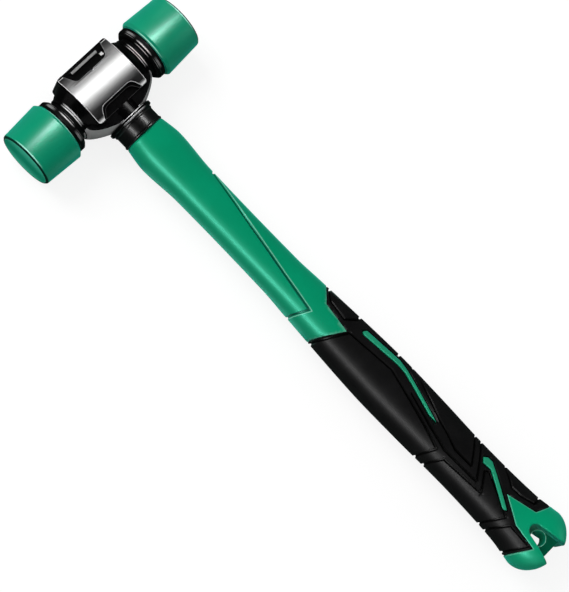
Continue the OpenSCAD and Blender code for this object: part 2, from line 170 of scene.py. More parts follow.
def fill(made, inputs):
    """Fill a node's sockets, each with a Wire or a plain value."""
    for socket, value in inputs.items():
        if isinstance(value, Wire):
            value.tree.links.new(value.socket, made.inputs[socket])
        else:
            made.inputs[socket].default_value = value


def node(tree, kind, inputs=None, **options):
    made = tree.nodes.new(kind)
    for option, value in options.items():
        setattr(made, option, value)
    fill(made, inputs or {})
    return made


def wire(tree, kind, inputs=None, out=0, **options):
    """One output of a new node."""
    return Wire(tree, node(tree, kind, inputs, **options).outputs[out])


def split(vector):
    return [Wire(vector.tree, part) for part in node(vector.tree, "ShaderNodeSeparateXYZ", {0: vector}).outputs]


def ranged(value, low, high, start=0.0, end=1.0, kind="LINEAR"):
    """Goes from low to high while a value goes from start to end, and stays there."""
    return wire(value.tree, "ShaderNodeMapRange", {
        "Value": value, "From Min": start, "From Max": end, "To Min": low, "To Max": high}, interpolation_type=kind)


def mixed(factor, first, second):
    return wire(factor.tree, "ShaderNodeMix", {"Factor": factor, "A": first, "B": second}, data_type="FLOAT")


def blended(factor, first, second):
    """One colour going over to another while a factor goes from 0 to 1."""
    first, second = (c if isinstance(c, Wire) else (*c, 1) for c in (first, second))
    return wire(factor.tree, "ShaderNodeMix", {0: factor, MIX_A: first, MIX_B: second}, MIX_COLOUR, data_type="RGBA")


def largest(value, *others):
    for other in others:
        value = value.math("MAXIMUM", other)
    return value


print("node helpers ready")

# %% [markdown]
# ## Room
# A studio shot of a shiny tool is lit by a few soft boxes in a dim room. The room gives a little even light to matt
# surfaces. What a shiny surface mirrors is another matter: white low down, like the paper sweep, and dark overhead, so
# that each soft box draws its own clean streak. Four pale windows stand in the room's corners, slantwise to the head
# and to the handle, so that steel still looks like steel from other sides. The Light Path node tells these rays apart.

# %% World
HORIZON, CEILING = -0.3, -0.1
AMBIENT, SWEEP_WHITE, CEILING_GREY, LEAST_REACH = 0.02, 1.0, 0.02, 0.01
WINDOW_SIDE, WINDOW_MIDDLE, WINDOW_FULL, WINDOW_TOP, WINDOW_WHITE = 0.40, 0.48, 0.45, 0.7, 1.0


def ray_kinds(tree):
    """1 for a ray that comes from a mirror, and 1 for a ray that comes from the camera."""
    path = {name: Wire(tree, socket) for name, socket in node(tree, "ShaderNodeLightPath").outputs.items()}
    return largest(path["Is Glossy Ray"], path["Is Transmission Ray"]), path["Is Camera Ray"]


world = bpy.data.worlds.new("studio")
world.use_nodes = True
world.cycles.sampling_method = "NONE"
scene.world = world
sky = world.node_tree
sky.nodes.clear()
mirrored, seen = ray_kinds(sky)
x, y, z = split(wire(sky, "ShaderNodeTexCoord", out="Generated"))
dimming = ranged(z, SWEEP_WHITE, CEILING_GREY, HORIZON, CEILING, "SMOOTHSTEP")
slantwise = abs(x * y) / largest(1 - z * z, LEAST_REACH)
sideways = ranged(slantwise, 0.0, WINDOW_WHITE, WINDOW_SIDE, WINDOW_MIDDLE, "SMOOTHSTEP")
window = ranged(z, sideways, 0.0, WINDOW_FULL, WINDOW_TOP, "SMOOTHSTEP")
level = mixed(seen, mixed(mirrored, AMBIENT, largest(dimming, window)), SWEEP_WHITE)
glow = wire(sky, "ShaderNodeBackground", {"Color": (1, 1, 1, 1), "Strength": level})
node(sky, "ShaderNodeOutputWorld", {0: glow})
print("world: ambient", AMBIENT)

# %% [markdown]
# ## Floor
# The hammer lies on white paper. Part of the paper's white is its own glow, for the eye and for mirrors, and the rest
# is light that it catches, which is where the hammer's soft shadow shows. In mirrors the paper glows only close to the
# shaft, tinted with the green that the shaft would cast on it: a painted reflection that draws a narrow light rim along
# the shaft's round side. Elsewhere mirrors see the paper nearly dark, which leaves black paint and rubber deep.

# %% Floor
FLOOR_SIZE, FLOOR_DROP = 20, 0.0002
FLOOR_GLOW, FLOOR_MATT, FLOOR_BOUNCE = 0.83, 0.22, 0.4
MIRRORED_CLOSE, MIRRORED_FAR, MIRRORED_BOUNCE = 0.6, 0.02, 0.04
CLOSE_BY, FAR_OFF = 0.020, 0.045
SHAFT_MIDDLE, SHAFT_HALF, FADE = 0.079, 0.043, 0.005
GREEN_CAST, WHITE = (0.35, 1.0, 0.8), (1, 1, 1)


def new_material(name):
    made = bpy.data.materials.new(name)
    made.use_nodes = True
    return made, made.node_tree, made.node_tree.nodes["Principled BSDF"]


def object_point(tree):
    return wire(tree, "ShaderNodeTexCoord", out="Object")


paper, tree, _ = new_material("white_paper")
paper.cycles.emission_sampling = "NONE"
tree.nodes.clear()
mirrored, seen = ray_kinds(tree)
x, y, _ = split(object_point(tree))
# Painted reflection: in mirrors the paper glows only near the shaft, and this glow draws the light rim on the shaft.
painted_glow_by_shaft = ranged(abs(x - (EYE[0] + SHAFT_MIDDLE)), 1.0, 0.0, SHAFT_HALF, SHAFT_HALF + FADE, "SMOOTHSTEP")
painted_glow_by_shaft = painted_glow_by_shaft * ranged(abs(y - EYE[1]), 1.0, 0.0, CLOSE_BY, FAR_OFF, "SMOOTHSTEP")
brightness = painted_glow_by_shaft * (MIRRORED_CLOSE - MIRRORED_FAR) + MIRRORED_FAR
matt = wire(tree, "ShaderNodeBsdfDiffuse", {"Color": (FLOOR_MATT, FLOOR_MATT, FLOOR_MATT, 1)})
bounce = wire(tree, "ShaderNodeBsdfDiffuse", {"Color": mixed(mirrored, FLOOR_BOUNCE, MIRRORED_BOUNCE)})
# For mirrors the glow is tinted green, a painted stand-in for the green light that the shaft casts.
shine = wire(tree, "ShaderNodeEmission", {"Color": blended(seen, GREEN_CAST, WHITE), "Strength": FLOOR_GLOW})
white = wire(tree, "ShaderNodeAddShader", {0: matt, 1: shine})
either = wire(tree, "ShaderNodeMixShader", {0: largest(seen, mirrored * brightness), 1: bounce, 2: white})
node(tree, "ShaderNodeOutputMaterial", {0: either})
sheet = bpy.data.meshes.new("floor")
far = FLOOR_SIZE / 2
sheet.from_pydata([(-far, -far, 0), (far, -far, 0), (far, far, 0), (-far, far, 0)], [], [(0, 1, 2, 3)])
sheet.materials.append(paper)
floor = added("floor", sheet)
floor.location.z = cad_box[0][2] - FLOOR_DROP
print("floor", FLOOR_SIZE, "m")

# %% [markdown]
# ## Lamps
# A white ceiling gives the even light, and a broad box beyond the head gives the shading. Both are kept out of
# reflections, so that dark colours stay deep. A long strip beside the handle draws the streak down the handle and the
# rubber. A small box close above the head draws the streaks on the two faces and the bright band on the polished
# cheek. One more on the far side gives the collar a second band.

# %% Lamps


def soft_box(name, place, aim, size, watts, in_mirrors, slant=0.0):
    """Rectangle lamp at a place, facing another. Its sides follow the handle and the head, or slant from them."""
    lamp = bpy.data.lights.new(name, "AREA")
    lamp.shape = "RECTANGLE"
    lamp.size, lamp.size_y = size
    lamp.energy = watts
    lamp.cycles.use_multiple_importance_sampling = in_mirrors
    back = (Vector(place) - Vector(aim)).normalized()
    side = Vector((math.cos(slant), -math.sin(slant), 0))
    side = (side - back * side.dot(back)).normalized()
    box = added(name, lamp)
    box.matrix_world = standing(Vector(place), side, back.cross(side), back)
    box.visible_glossy = in_mirrors
    box.visible_diffuse = not in_mirrors
    box.visible_camera = False
    return box


head_middle, handle_middle = tuple(EYE), (0.02, 0, EYE[2])
soft_box("ceiling", (0, 0, 2), (0, 0, 0), (12, 12), 255, in_mirrors=False)
side_box = soft_box("side_box", (-0.04, 0.304, 0.41), head_middle, (0.3, 0.06), 2.2, in_mirrors=True)
soft_box("broad_key", (-0.95, -0.1, 0.85), handle_middle, (0.7, 0.7), 9.0, in_mirrors=False)
strip = soft_box("long_strip", (0.03, -0.385, 0.395), handle_middle, (0.62, 0.06), 2.6, in_mirrors=True)
head_box = soft_box("head_box", (-0.207, 0.10, 0.40), head_middle, (0.10, 0.28), 2.45, True, math.radians(38))

# %% [markdown]
# ## Green nylon and green moulding
# Both green pieces are dyed right through, so their colour is even, with only a faint cloudiness from the moulding.
# The nylon faces are turned smooth and shine; the handle is moulded in a finely blasted tool and is satin. Noise on
# Object coordinates varies colour and roughness, and a finer noise drives a shallow bump. Some places are painted
# paler, as painted light and painted highlights, or darker, as painted shade, and they are found by their distance
# from the eye.

# %% Places and textures


def noise(tree, scale, detail, stretch=None):
    point = object_point(tree)
    if stretch:
        point = wire(tree, "ShaderNodeMapping", {"Vector": point, "Scale": stretch})
    return wire(tree, "ShaderNodeTexNoise", {"Vector": point, "Scale": scale, "Detail": detail}, "Fac")


def bumped(value, depth):
    return wire(value.tree, "ShaderNodeBump", {"Height": value, "Distance": depth})


def from_the_eye(tree):
    """X, Y and Z of the shaded point in millimetres from the middle of the eye."""
    apart = wire(tree, "ShaderNodeVectorMath", {0: object_point(tree), 1: tuple(EYE)}, operation="SUBTRACT")
    return split(wire(tree, "ShaderNodeVectorMath", {0: apart, "Scale": 1 / MM}, operation="SCALE"))


def past(value, start, full):
    """Rises from 0 where a value is at its start to 1 where it is full."""
    return ranged(value, 0, 1, start, full)


def near(value, middle, reach):
    """1 where a value is within reach of a middle one, else 0."""
    return value.math("COMPARE", middle, reach)


def from_axis(across, height):
    """Distance from an axis, from the distances in two directions."""
    flat = wire(across.tree, "ShaderNodeCombineXYZ", {"X": across, "Y": height})
    return wire(across.tree, "ShaderNodeVectorMath", {0: flat}, "Value", operation="LENGTH")


def facing_out(across, height, low, high):
    """Rises from 0 to 1 as a point's share of height in its distance from an axis goes from low to high."""
    return past(height / from_axis(across, height), low, high)


def with_painted_shading(colour, dark, painted_highlight=None):
    """The colour with painted shade and painted highlights from the mesh: darker where a point's painted shading is
    above 0, as down in grooves, and paler where it is below 0.
    """
    painted_shading = wire(colour.tree, "ShaderNodeAttribute", out="Fac", attribute_name="painted_shading")
    if painted_highlight:
        colour = blended(past(painted_shading, 0, -1), colour, painted_highlight)
    return blended(painted_shading, colour, dark)


print("places are found in millimetres")

# %% Green finishes
RIM_PAINTED_LIGHT, BUTT_PAINTED_LIGHT, SLOT_FROM = (2, 9.5), (212, 252), 240.8
SLOT_HALF, SHADE_FULL, SHADE_END = 5.5, 8.6, 9.6
WEB, HOLE_R, HOLE_BACK, HOLE_CHAMFER = 4.5, 3.25, 9.3, 0.25
HOLE_X = (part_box("handle_jacket")[1][0] - EYE[0]) / MM - HOLE_BACK
WALL_SKIN, LINE_HALF = 0.02, 0.1


def painted_light_rim(colour):
    """The colour, paler towards the top and the bottom of a face's end, away from its middle: painted light."""
    return blended(past(abs(from_the_eye(colour.tree)[2]), *RIM_PAINTED_LIGHT), colour, (0.070, 0.70, 0.46))


def moulded_handle(colour):
    """The colour, with painted light on the butt, painted shade in the slot, painted light on the wall of the slot's
    hole, a painted highlight round the hole's rim, and the painted shade and highlights that the mesh marks.
    """
    x, y, z = from_the_eye(colour.tree)
    height = abs(z)
    # Painted light: the butt is paler.
    colour = blended(past(x, *BUTT_PAINTED_LIGHT), colour, (0.0010, 0.380, 0.178))
    # Painted shade: the slot is darker, fading out towards the skin.
    painted_slot_shade = (x > SLOT_FROM) * near(y, 0, SLOT_HALF) * ranged(height, 1, 0, SHADE_FULL, SHADE_END)
    colour = blended(painted_slot_shade, colour, (0.0003, 0.10, 0.048))
    from_hole = from_axis(x - HOLE_X, y)
    # Painted light: the wall of the hole is paler.
    colour = blended(from_hole < HOLE_R + WALL_SKIN, colour, (0.001, 0.56, 0.32))
    # Painted highlight: a pale line round the hole's rim on the web.
    line = (from_hole < HOLE_R + HOLE_CHAMFER) * near(height, WEB, LINE_HALF)
    colour = blended(line, colour, (0.30, 0.72, 0.55))
    return with_painted_shading(colour, (0.0003, 0.055, 0.028), (0.30, 0.74, 0.58))


def cloudy(name, dark, light, sheen, grain, depth, constants, touched=None, cloud=(90, 3), spread=(0.3, 0.7),
           wear=(260, 4)):
    """Material between two colours. Three noises vary its colour, sheen and grain, and a touch changes some places."""
    made, tree, shader = new_material(name)
    colour = blended(past(noise(tree, *cloud), *spread), dark, light)
    fill(shader, {
        "Base Color": touched(colour) if touched else colour,
        "Roughness": ranged(noise(tree, *wear), *sheen),
        "Normal": bumped(noise(tree, *grain), depth), **constants})
    return made


SHEEN = {"Sheen Roughness": 0.45, "Sheen Tint": (0.03, 1.0, 0.75, 1)}
green_nylon = cloudy(
    "green_nylon", (0.0008, 0.275, 0.140), (0.0012, 0.300, 0.156), (0.31, 0.36), (2500, 3), 0.000004,
    {"IOR": 1.6, "Specular Tint": (0.72, 1.0, 0.97, 1), "Sheen Weight": 1.0, **SHEEN})
# The end discs carry painted light: paler towards their top and bottom.
struck_nylon = cloudy(
    "struck_nylon", (0.0050, 0.350, 0.195), (0.0080, 0.400, 0.230), (0.5, 0.62), (1600, 3), 0.00002,
    {"IOR": 1.05}, painted_light_rim)
# Painted highlight: a pale ring on each face's end. Painted shade: the dark lines at its striking edge and its seat.
highlight_ring_nylon = cloudy(
    "highlight_ring_nylon", (0.040, 0.460, 0.300), (0.055, 0.500, 0.335), (0.4, 0.5), (1600, 3), 0.00001, {"IOR": 1.3})
shaded_nylon = cloudy(
    "shaded_nylon", (0.0004, 0.030, 0.018), (0.0006, 0.038, 0.023), (0.5, 0.6), (1600, 3), 0.00001, {"IOR": 1.2})
green_moulding = cloudy(
    "green_moulding", (0.0006, 0.285, 0.132), (0.0010, 0.306, 0.146), (0.37, 0.43), (5200, 3), 0.00001,
    {"IOR": 1.9, "Specular Tint": (0.2, 1.0, 0.75, 1), "Sheen Weight": 0.6, **SHEEN}, moulded_handle)
# Painted highlight on the rounded edges: mint where they face up or down, green round the sides.
nylon_edge_highlight, tree, shader = new_material("nylon_edge_highlight")
x, y, z = from_the_eye(tree)
lit = facing_out(x, abs(z), 0.78, 1.0)
fill(shader, {
    "Base Color": blended(lit, (0.004, 0.330, 0.190), (0.42, 0.95, 0.78)),
    "Roughness": ranged(noise(tree, 900, 3), 0.28, 0.36), "IOR": 1.6})
print("finishes:", green_nylon.name, nylon_edge_highlight.name, green_moulding.name)

# %% [markdown]
# ## Black rubber
# The pads are a thermoplastic rubber: nearly black, with a fine moulded grain that spreads the light into a soft grey
# streak. A cell pattern gives the grain, and noise makes the worn patches a little duller.

# %% Black rubber finish
black_rubber, tree, shader = new_material("black_rubber")
pads = blended(past(noise(tree, 140, 5), 0.35, 0.75), (0.0042, 0.0042, 0.0044), (0.0072, 0.0072, 0.0074))
grain = wire(tree, "ShaderNodeTexVoronoi", {"Vector": object_point(tree), "Scale": 3600}, "Distance")
# Painted shade: the rubber is darker down in its grooves, where the mesh marks it.
fill(shader, {
    "Base Color": with_painted_shading(pads, (0.0004, 0.0004, 0.0004)),
    "Roughness": ranged(noise(tree, 420, 3), 0.37, 0.46),
    "Normal": bumped(grain, 0.000012), "Specular IOR Level": 0.2})
print("finish:", black_rubber.name)

# %% [markdown]
# ## Black enamel and polished steel
# The head is forged, painted black all over and then ground bright on the crowned middle of each cheek. One material
# holds both: a point belongs to the ground crown where it lies as far from the crown's axis as the crown's radius. A
# mask made from that distance mixes paint and metal, and brushed noise along the head marks the grinding. The ground
# steel's tone also rises and falls in steps along the head, a painted reflection. Smaller masks find the turned flare,
# bare steel painted a matt grey in place of its reflection, the grey bar in the pocket, and painted highlights: lines
# along the crown's borders, the tips of its legs, a glint in the upper pocket, and lines and bands on the ring and the
# flange at each end.

# %% Places on the head
CROWN_R, CROWN_AXIS = 29, 16.2
CROWN_TOP, CROWN_FOOT = (CROWN_R - 0.22, CROWN_R - 0.12), (CROWN_R - 0.5, CROWN_R - 0.3)
BARREL_END, BARREL_SIDES, HEEL = (13.05, 13.1), (-1.7, 12.25), (-13.1, -12.9)
RIM, RIM_PAST, TOE, TOE_PAST = (-12.95, 0.14), (10.2, 10.5), (8.6, 9.9), (9.6, 10.0)
GLINT_X, GLINT_Y, POCKET_FLOOR = (-9.8, 0.6), (7.9, 0.7), (7.7, 7.9)
BAR_TOP, BAR_X, BAR_HALF = (9.5, 0.12), (-11.8, 0.78), (0, 7.0)
MILLED_TOP, MILLED_PAST, TURNED_PAST = (8.2, 0.03), (7.9, 8.0), (16.9, 17.1)
FLARE_PAST, FLARE_R, FLARE_CLOSES, FLARE_POWER, FLARE_SKIN = (8, 15.2), 18.9, 9.3, 1.7, 0.22
FLARE_X, FLARE_HALF = (11.5, 3.9), (0, 8.15)
RING_EDGES, RING_REACH, RING_TOP = (17.25, 18.1), 0.2, (0.80, 0.94)
CREST, CREST_TOP, FLANGE, FLANGE_FROM, FLANGE_TO = (21.3, 0.28), (0.95, 0.99), (21.6, 0.75), (0.56, 0.68), (0.9, 0.8)
head_paint, tree, shader = new_material("head_paint")
x, y, z = from_the_eye(tree)
height, along = abs(z), abs(y)
crown = from_axis(x, height + CROWN_AXIS)
on_barrel = ranged(along, 1, 0, *BARREL_END) * near(x, *BARREL_SIDES)
ground = past(crown, *CROWN_TOP) * on_barrel * past(x, *HEEL)
# Painted highlights: a line along the crown's heel, the tips of its legs at the toe, and a glint in the upper pocket.
rim = ground * near(x, *RIM) * past(along, *RIM_PAST)
toe = ground * past(x, *TOE) * past(along, *TOE_PAST)
in_pocket = past(height, *POCKET_FLOOR)
painted_glint = near(x, *GLINT_X) * near(y, *GLINT_Y) * in_pocket
bar = near(height, *BAR_TOP) * near(x, *BAR_X) * near(along, *BAR_HALF)
pit = ranged(crown, 1, 0, *CROWN_FOOT) * on_barrel * in_pocket * (1 - bar)
milled = near(height, *MILLED_TOP) * past(x, *MILLED_PAST)
flare_r = past(x, *FLARE_PAST).math("POWER", FLARE_POWER) * -FLARE_CLOSES + FLARE_R
flare = near(from_axis(y, z), flare_r, FLARE_SKIN) * near(x, *FLARE_X) * near(height, *FLARE_HALF)
# Painted highlights: lines on the ring's edges, a line on the flange's crest and a band on its side, each where it
# faces up or down.
on_ring = largest(*(near(along, edge, RING_REACH) for edge in RING_EDGES)) * facing_out(x, height, *RING_TOP)
crest = near(along, *CREST) * facing_out(x, height, *CREST_TOP)
haunch = near(along, *FLANGE) * facing_out(x, height, *FLANGE_FROM) * facing_out(x, height, *FLANGE_TO)
print("places found on the head for", head_paint.name)

# %% Head finish
PAINTED_REFLECTION_STEPS = (0.0, 0.05), (0.2, 0.21), (0.32, 0.09), (0.68, 0.09), (0.78, 0.047), (1.0, 0.055)
HIGHLIGHTS_AND_GREY_BAR = (bar, 0.16), (rim, 0.85), (toe, 0.8), (painted_glint, 0.8), (on_ring, 0.7), (crest, 0.5), (haunch, 0.2)
PAINTED_REFLECTION_ENDS, ALONG_THE_HEAD = (-14, 11), (1, 0.06, 1)
DULL, TURNED_DULL = 0.9, 0.55
brushing = noise(tree, 5200, 3, ALONG_THE_HEAD)
# Painted reflection: the ground steel's tone rises and falls in steps along the head, brushed by noise.
painted_reflection = node(tree, "ShaderNodeValToRGB", {"Fac": past(x, *PAINTED_REFLECTION_ENDS)})
steps = painted_reflection.color_ramp.elements
for position, level in PAINTED_REFLECTION_STEPS:
    step = steps[0] if position == 0 else steps[-1] if position == 1 else steps.new(position)
    step.color = (level, level, level, 1)
steel = wire(tree, "ShaderNodeVectorMath", {
    0: Wire(tree, painted_reflection.outputs["Color"]), "Scale": ranged(brushing, 0.82, 1.18)}, operation="SCALE")
enamel = blended(past(noise(tree, 700, 5), 0.45, 0.8), (0.0012, 0.0012, 0.0013), (0.0030, 0.0030, 0.0032))
colour = blended(ground, enamel, steel)
# The turned flare is bare steel, painted a matt grey that stands in for its reflection: painted reflection.
colour = blended(flare, colour, blended(brushing, (0.34, 0.34, 0.34), (0.52, 0.52, 0.52)))
# Grey on the bar in the pocket, and pale tones for the painted highlights.
for mask, level in HIGHLIGHTS_AND_GREY_BAR:
    colour = blended(mask, colour, (level, level, level))
bare = ground * (1 - rim) * (1 - toe) * (1 - painted_glint)
dull = largest(pit, milled, past(along, *TURNED_PAST) * TURNED_DULL)
gloss, satin = ranged(noise(tree, 900, 3), 0.13, 0.19), ranged(brushing, 0.27, 0.34)
fill(shader, {
    "Base Color": colour, "Metallic": bare, "Roughness": mixed(dull, mixed(bare, gloss, satin), DULL),
    "Normal": bumped(noise(tree, 1100, 2), 0.000002), "Specular IOR Level": 0.05})
print("finish:", head_paint.name)

# %% [markdown]
# ## Painted highlights on the head's edges
# The broken edges of the head catch the light as thin bright lines: the border of the ground crown, the crests of the
# rings and the flange, and the boss. A second material is kept for those edges and paints these lines in as painted
# highlights. It is near white where an edge faces up or down and fades to black paint round the sides; it is fainter
# along the upper pocket, and noise breaks it up.

# %% Painted edge highlights
CROWN_BORDER, OFF_CROWN, BARREL_UP, BOSS_UP = (CROWN_R - 0.6, CROWN_R - 0.3), 0.06, (0.45, 0.7), (0.8, 0.97)
POCKET_X, POCKET_HALF, POCKET_LEFT = -7.2, 11.2, 0.3
LINE_REACH, RING_LINES, FLANGE_LINES, FLANGE_UP = 0.15, (17.12, 18.15), (20.15, 21.2), (0.93, 0.99)
RINGS_FROM, FLANGE_START, BOSS_FROM = 13.4, 19.4, 11
head_edge_highlight, tree, shader = new_material("head_edge_highlight")
x, y, z = from_the_eye(tree)
height, along = abs(z), abs(y)
crown = from_axis(x, height + CROWN_AXIS)
on_barrel = ranged(crown, OFF_CROWN, 1, *CROWN_BORDER) * facing_out(x, height, *BARREL_UP)
on_barrel = on_barrel * ranged((x < POCKET_X) * (along < POCKET_HALF), 1, POCKET_LEFT)
on_ring, on_flange = (
    facing_out(x, height, *share) * largest(*(near(along, line, LINE_REACH) for line in lines))
    for share, lines in ((RING_TOP, RING_LINES), (FLANGE_UP, FLANGE_LINES)))
# This mask marks where the painted highlights go: near white where it is full.
painted_highlight = mixed(along > RINGS_FROM, on_barrel, mixed(along > FLANGE_START, on_ring, on_flange))
painted_highlight = mixed(x > BOSS_FROM, painted_highlight, facing_out(y, height, *BOSS_UP))
painted_highlight = painted_highlight * ranged(noise(tree, 1400, 4), 0.7, 1.0, 0.35, 0.6)
fill(shader, {
    "Base Color": blended(painted_highlight, (0.002, 0.002, 0.002), (0.95, 0.95, 0.96)),
    "Metallic": ranged(painted_highlight, 0.0, 0.12), "Roughness": ranged(painted_highlight, 0.2, 0.34), "Specular IOR Level": 0.15})
print("finish:", head_edge_highlight.name)

# %% [markdown]
# ## Head
# A forging has no sharp edges: each one is broken by the die or the grinder, and that thin rounding is what catches
# the light as a white line. The imported solid has the right shape with sharp edges, so a merged copy of it gets a
# Bevel modifier that works only on its sharp outer edges, which are given a bevel weight, and puts the edge highlight
# finish on them, which paints those white lines in.

# %% Head
SHARP, FLAT, MERGE, BROKEN = math.radians(26), math.radians(0.6), 2e-6, 0.2
HEAD_SHARP, TURNED_SHARP, GRIP_SHARP, HANDLE_SHARP, PLATED_SHARP = 22, 40, 55, 50, 35


def smooth_shaded(mesh, sharp_degrees):
    mesh.polygons.foreach_set("use_smooth", [True] * len(mesh.polygons))
    mesh.set_sharp_from_angle(angle=math.radians(sharp_degrees))


def mesh_from(form, sharp_degrees):
    """Smooth mesh of a bmesh, with its faces turned outwards. The bmesh is used up."""
    bmesh.ops.recalc_face_normals(form, faces=form.faces)
    mesh = bpy.data.meshes.new("piece")
    form.to_mesh(mesh)
    form.free()
    smooth_shaded(mesh, sharp_degrees)
    return mesh


def link_piece(name, mesh, material, body, slot, *nodes):
    mesh.name = name
    mesh.materials.clear()
    mesh.materials.append(material)
    made = added(name, mesh)
    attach(made, body)
    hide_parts(*nodes)
    return made


form = bmesh.new()
form.from_mesh(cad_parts["head_body"].data)
bmesh.ops.remove_doubles(form, verts=form.verts, dist=MERGE)
bmesh.ops.dissolve_limit(form, angle_limit=FLAT, verts=form.verts, edges=form.edges)
weight = form.edges.layers.float.new("bevel_weight_edge")
for edge in form.edges:
    if edge.is_manifold and edge.is_convex and edge.calc_face_angle() > SHARP:
        edge[weight] = 1.0
head_mesh = mesh_from(form, HEAD_SHARP)
head = link_piece("forged_head", head_mesh, head_paint, "hammer", "head_steel", "head_body")
head_mesh.materials.append(head_edge_highlight)
edges = head.modifiers.new("broken_edges", "BEVEL")
edges.limit_method = "WEIGHT"
edges.material = 1
edges.width = BROKEN * MM
edges.segments = 3
edges.use_clamp_overlap = False
edges.harden_normals = True
print("head faces:", len(head_mesh.polygons))

# %% [markdown]
# ## Turned pieces
# The faces and the collar are round about one axis. A lathe does the same in code: a profile of radius and station is
# spun round the axis, and each corner of the profile is first eased with a short curve so that it catches light.

# %% Lathe
LATHE_STEPS, EASE_STEPS, EASE_SHARE = 128, 4, 0.45


def eased(profile):
    """Profile of (radius, station) from rows that also give a radius for the short curve at each corner."""
    corners = [np.array(row[:2], dtype=float) for row in profile]
    out = [corners[0]]
    for before, here, after, row in zip(corners, corners[1:], corners[2:], profile[1:]):
        ways = [before - here, after - here]
        ends = [here + w / np.linalg.norm(w) * min(row[2], np.linalg.norm(w) * EASE_SHARE) for w in ways]
        for t in np.linspace(0, 1, EASE_STEPS + 1) if row[2] else [0]:
            out.append(ends[0] * (1 - t) ** 2 + here * 2 * t * (1 - t) + ends[1] * t * t)
    return out + [corners[-1]]


def lathed(profile, axis, side=1, closed=False):
    """Mesh of a profile of (radius, station) spun round the handle's axis, X, or the head's axis, Y."""
    form = bmesh.new()
    rings = []
    for radius, station in profile:
        ring = []
        for i in range(LATHE_STEPS if radius > 0 else 1):
            angle = 2 * math.pi * i / LATHE_STEPS
            a, b = radius * math.cos(angle), radius * math.sin(angle)
            ring.append(form.verts.new(placed((station * side, a, b) if axis == "X" else (a, station * side, b))))
        rings.append(ring)
    for one, two in zip(rings, rings[1:] + rings[:1] if closed else rings[1:]):
        for i in range(LATHE_STEPS):
            j = (i + 1) % LATHE_STEPS
            quad = [one[i % len(one)], one[j % len(one)], two[j % len(two)], two[i % len(two)]]
            form.faces.new(dict.fromkeys(quad))
    return mesh_from(form, TURNED_SHARP)


print("lathe of", LATHE_STEPS, "steps")

# %% [markdown]
# ## Nylon faces
# Each face is a plug of nylon with a bead round its seat, a slight taper, a rounded striking edge and a fine turned
# line on its end. Inside, it is moulded round the head of its stud, with a recess for the lock washer. Its finishes
# paint light and shade on it: a painted highlight ring on the end, painted shade on the striking edge's corner and in
# the seat's corner, and painted highlights along the rounded edge and the seat's bevel.

# %% Nylon faces
SIDES = ("near", -1), ("far", 1)
SEAT_Y = 23.7
FACE_R, FACE_END_R, FACE_L = 13.5, 12.5, 18.5
DISC_R, HIGHLIGHT_RING_R, CORNER, LIP, DISC_SKIN = 11.1, 11.45, 0.6, 1.05, 0.1
SEAT_SHADE, SEAT_EDGE, SEAT_R = 0.12, 0.5, 12
RECESS_R, RECESS_L, BORE_R, STUD_HEAD_R, STUD_HEAD, STUD_END = 8.5, 1.6, 5.02, 7.52, 7.5, 11.5
face_profile = eased([
    (0, FACE_L, 0), (DISC_R, FACE_L, 0), (HIGHLIGHT_RING_R, FACE_L, 0), (11.88, FACE_L - 0.06, 0),
    (FACE_END_R - 0.08, FACE_L - CORNER, 0.1), (FACE_END_R + 0.02, FACE_L - LIP, 0), (FACE_R - 0.1, 3.0, 1.0),
    (FACE_R, 1.5, 0.1), (FACE_R, 1.3, 0.1), (12.7, SEAT_EDGE, 0), (12.32, SEAT_SHADE, 0), (12.2, 0, 0),
    (RECESS_R, 0, 0.2), (RECESS_R, RECESS_L, 0.15), (BORE_R, RECESS_L, 0.1), (BORE_R, STUD_HEAD, 0.1),
    (STUD_HEAD_R, STUD_HEAD, 0.1), (STUD_HEAD_R, STUD_END, 0.1), (0, STUD_END, 0)])
# A face's finishes: plain, its struck end, painted edge highlights, a painted highlight ring, and painted shade.
FACE_FINISHES = {"plain": green_nylon, "struck": struck_nylon, "edge": nylon_edge_highlight, "painted_highlight": highlight_ring_nylon,
                 "shaded": shaded_nylon}


def nylon_finish(radius, station):
    """Which of a face's finishes belongs at a radius and a distance from its seat."""
    # The pale ring inside the striking edge is a painted highlight; that edge's corner and the seat's corner get
    # painted shade; the rounded edge and the seat's bevel get the painted edge highlight.
    if station > FACE_L - CORNER and radius > DISC_R:
        return "shaded" if radius > HIGHLIGHT_RING_R else "painted_highlight"
    if station > FACE_L - DISC_SKIN:
        return "struck"
    if FACE_L - LIP < station < FACE_L - CORNER or SEAT_SHADE < station < SEAT_EDGE and radius > SEAT_R:
        return "edge"
    return "shaded" if 0 < station < SEAT_SHADE and radius > SEAT_R else "plain"


nylon_faces = []
for name, side in SIDES:
    mesh = lathed([(r, SEAT_Y + s) for r, s in face_profile], "Y", side)
    face = link_piece("nylon_face_" + name, mesh, green_nylon, name + "_face", "face_nylon", "face_" + name)
    for finish in list(FACE_FINISHES.values())[1:]:
        mesh.materials.append(finish)
    for polygon in mesh.polygons:
        x, y, z = (np.array(polygon.center) - EYE) / MM
        finish = nylon_finish(math.hypot(x, z), y * side - SEAT_Y)
        polygon.material_index = list(FACE_FINISHES).index(finish)
    nylon_faces.append(face)
    print("nylon face", name, len(mesh.polygons), "faces")

# %% [markdown]
# ## Collar
# A black ferrule hides the joint between the head and the handle. It has a bead at each end and two shallow turned
# steps, and the rod runs through it.

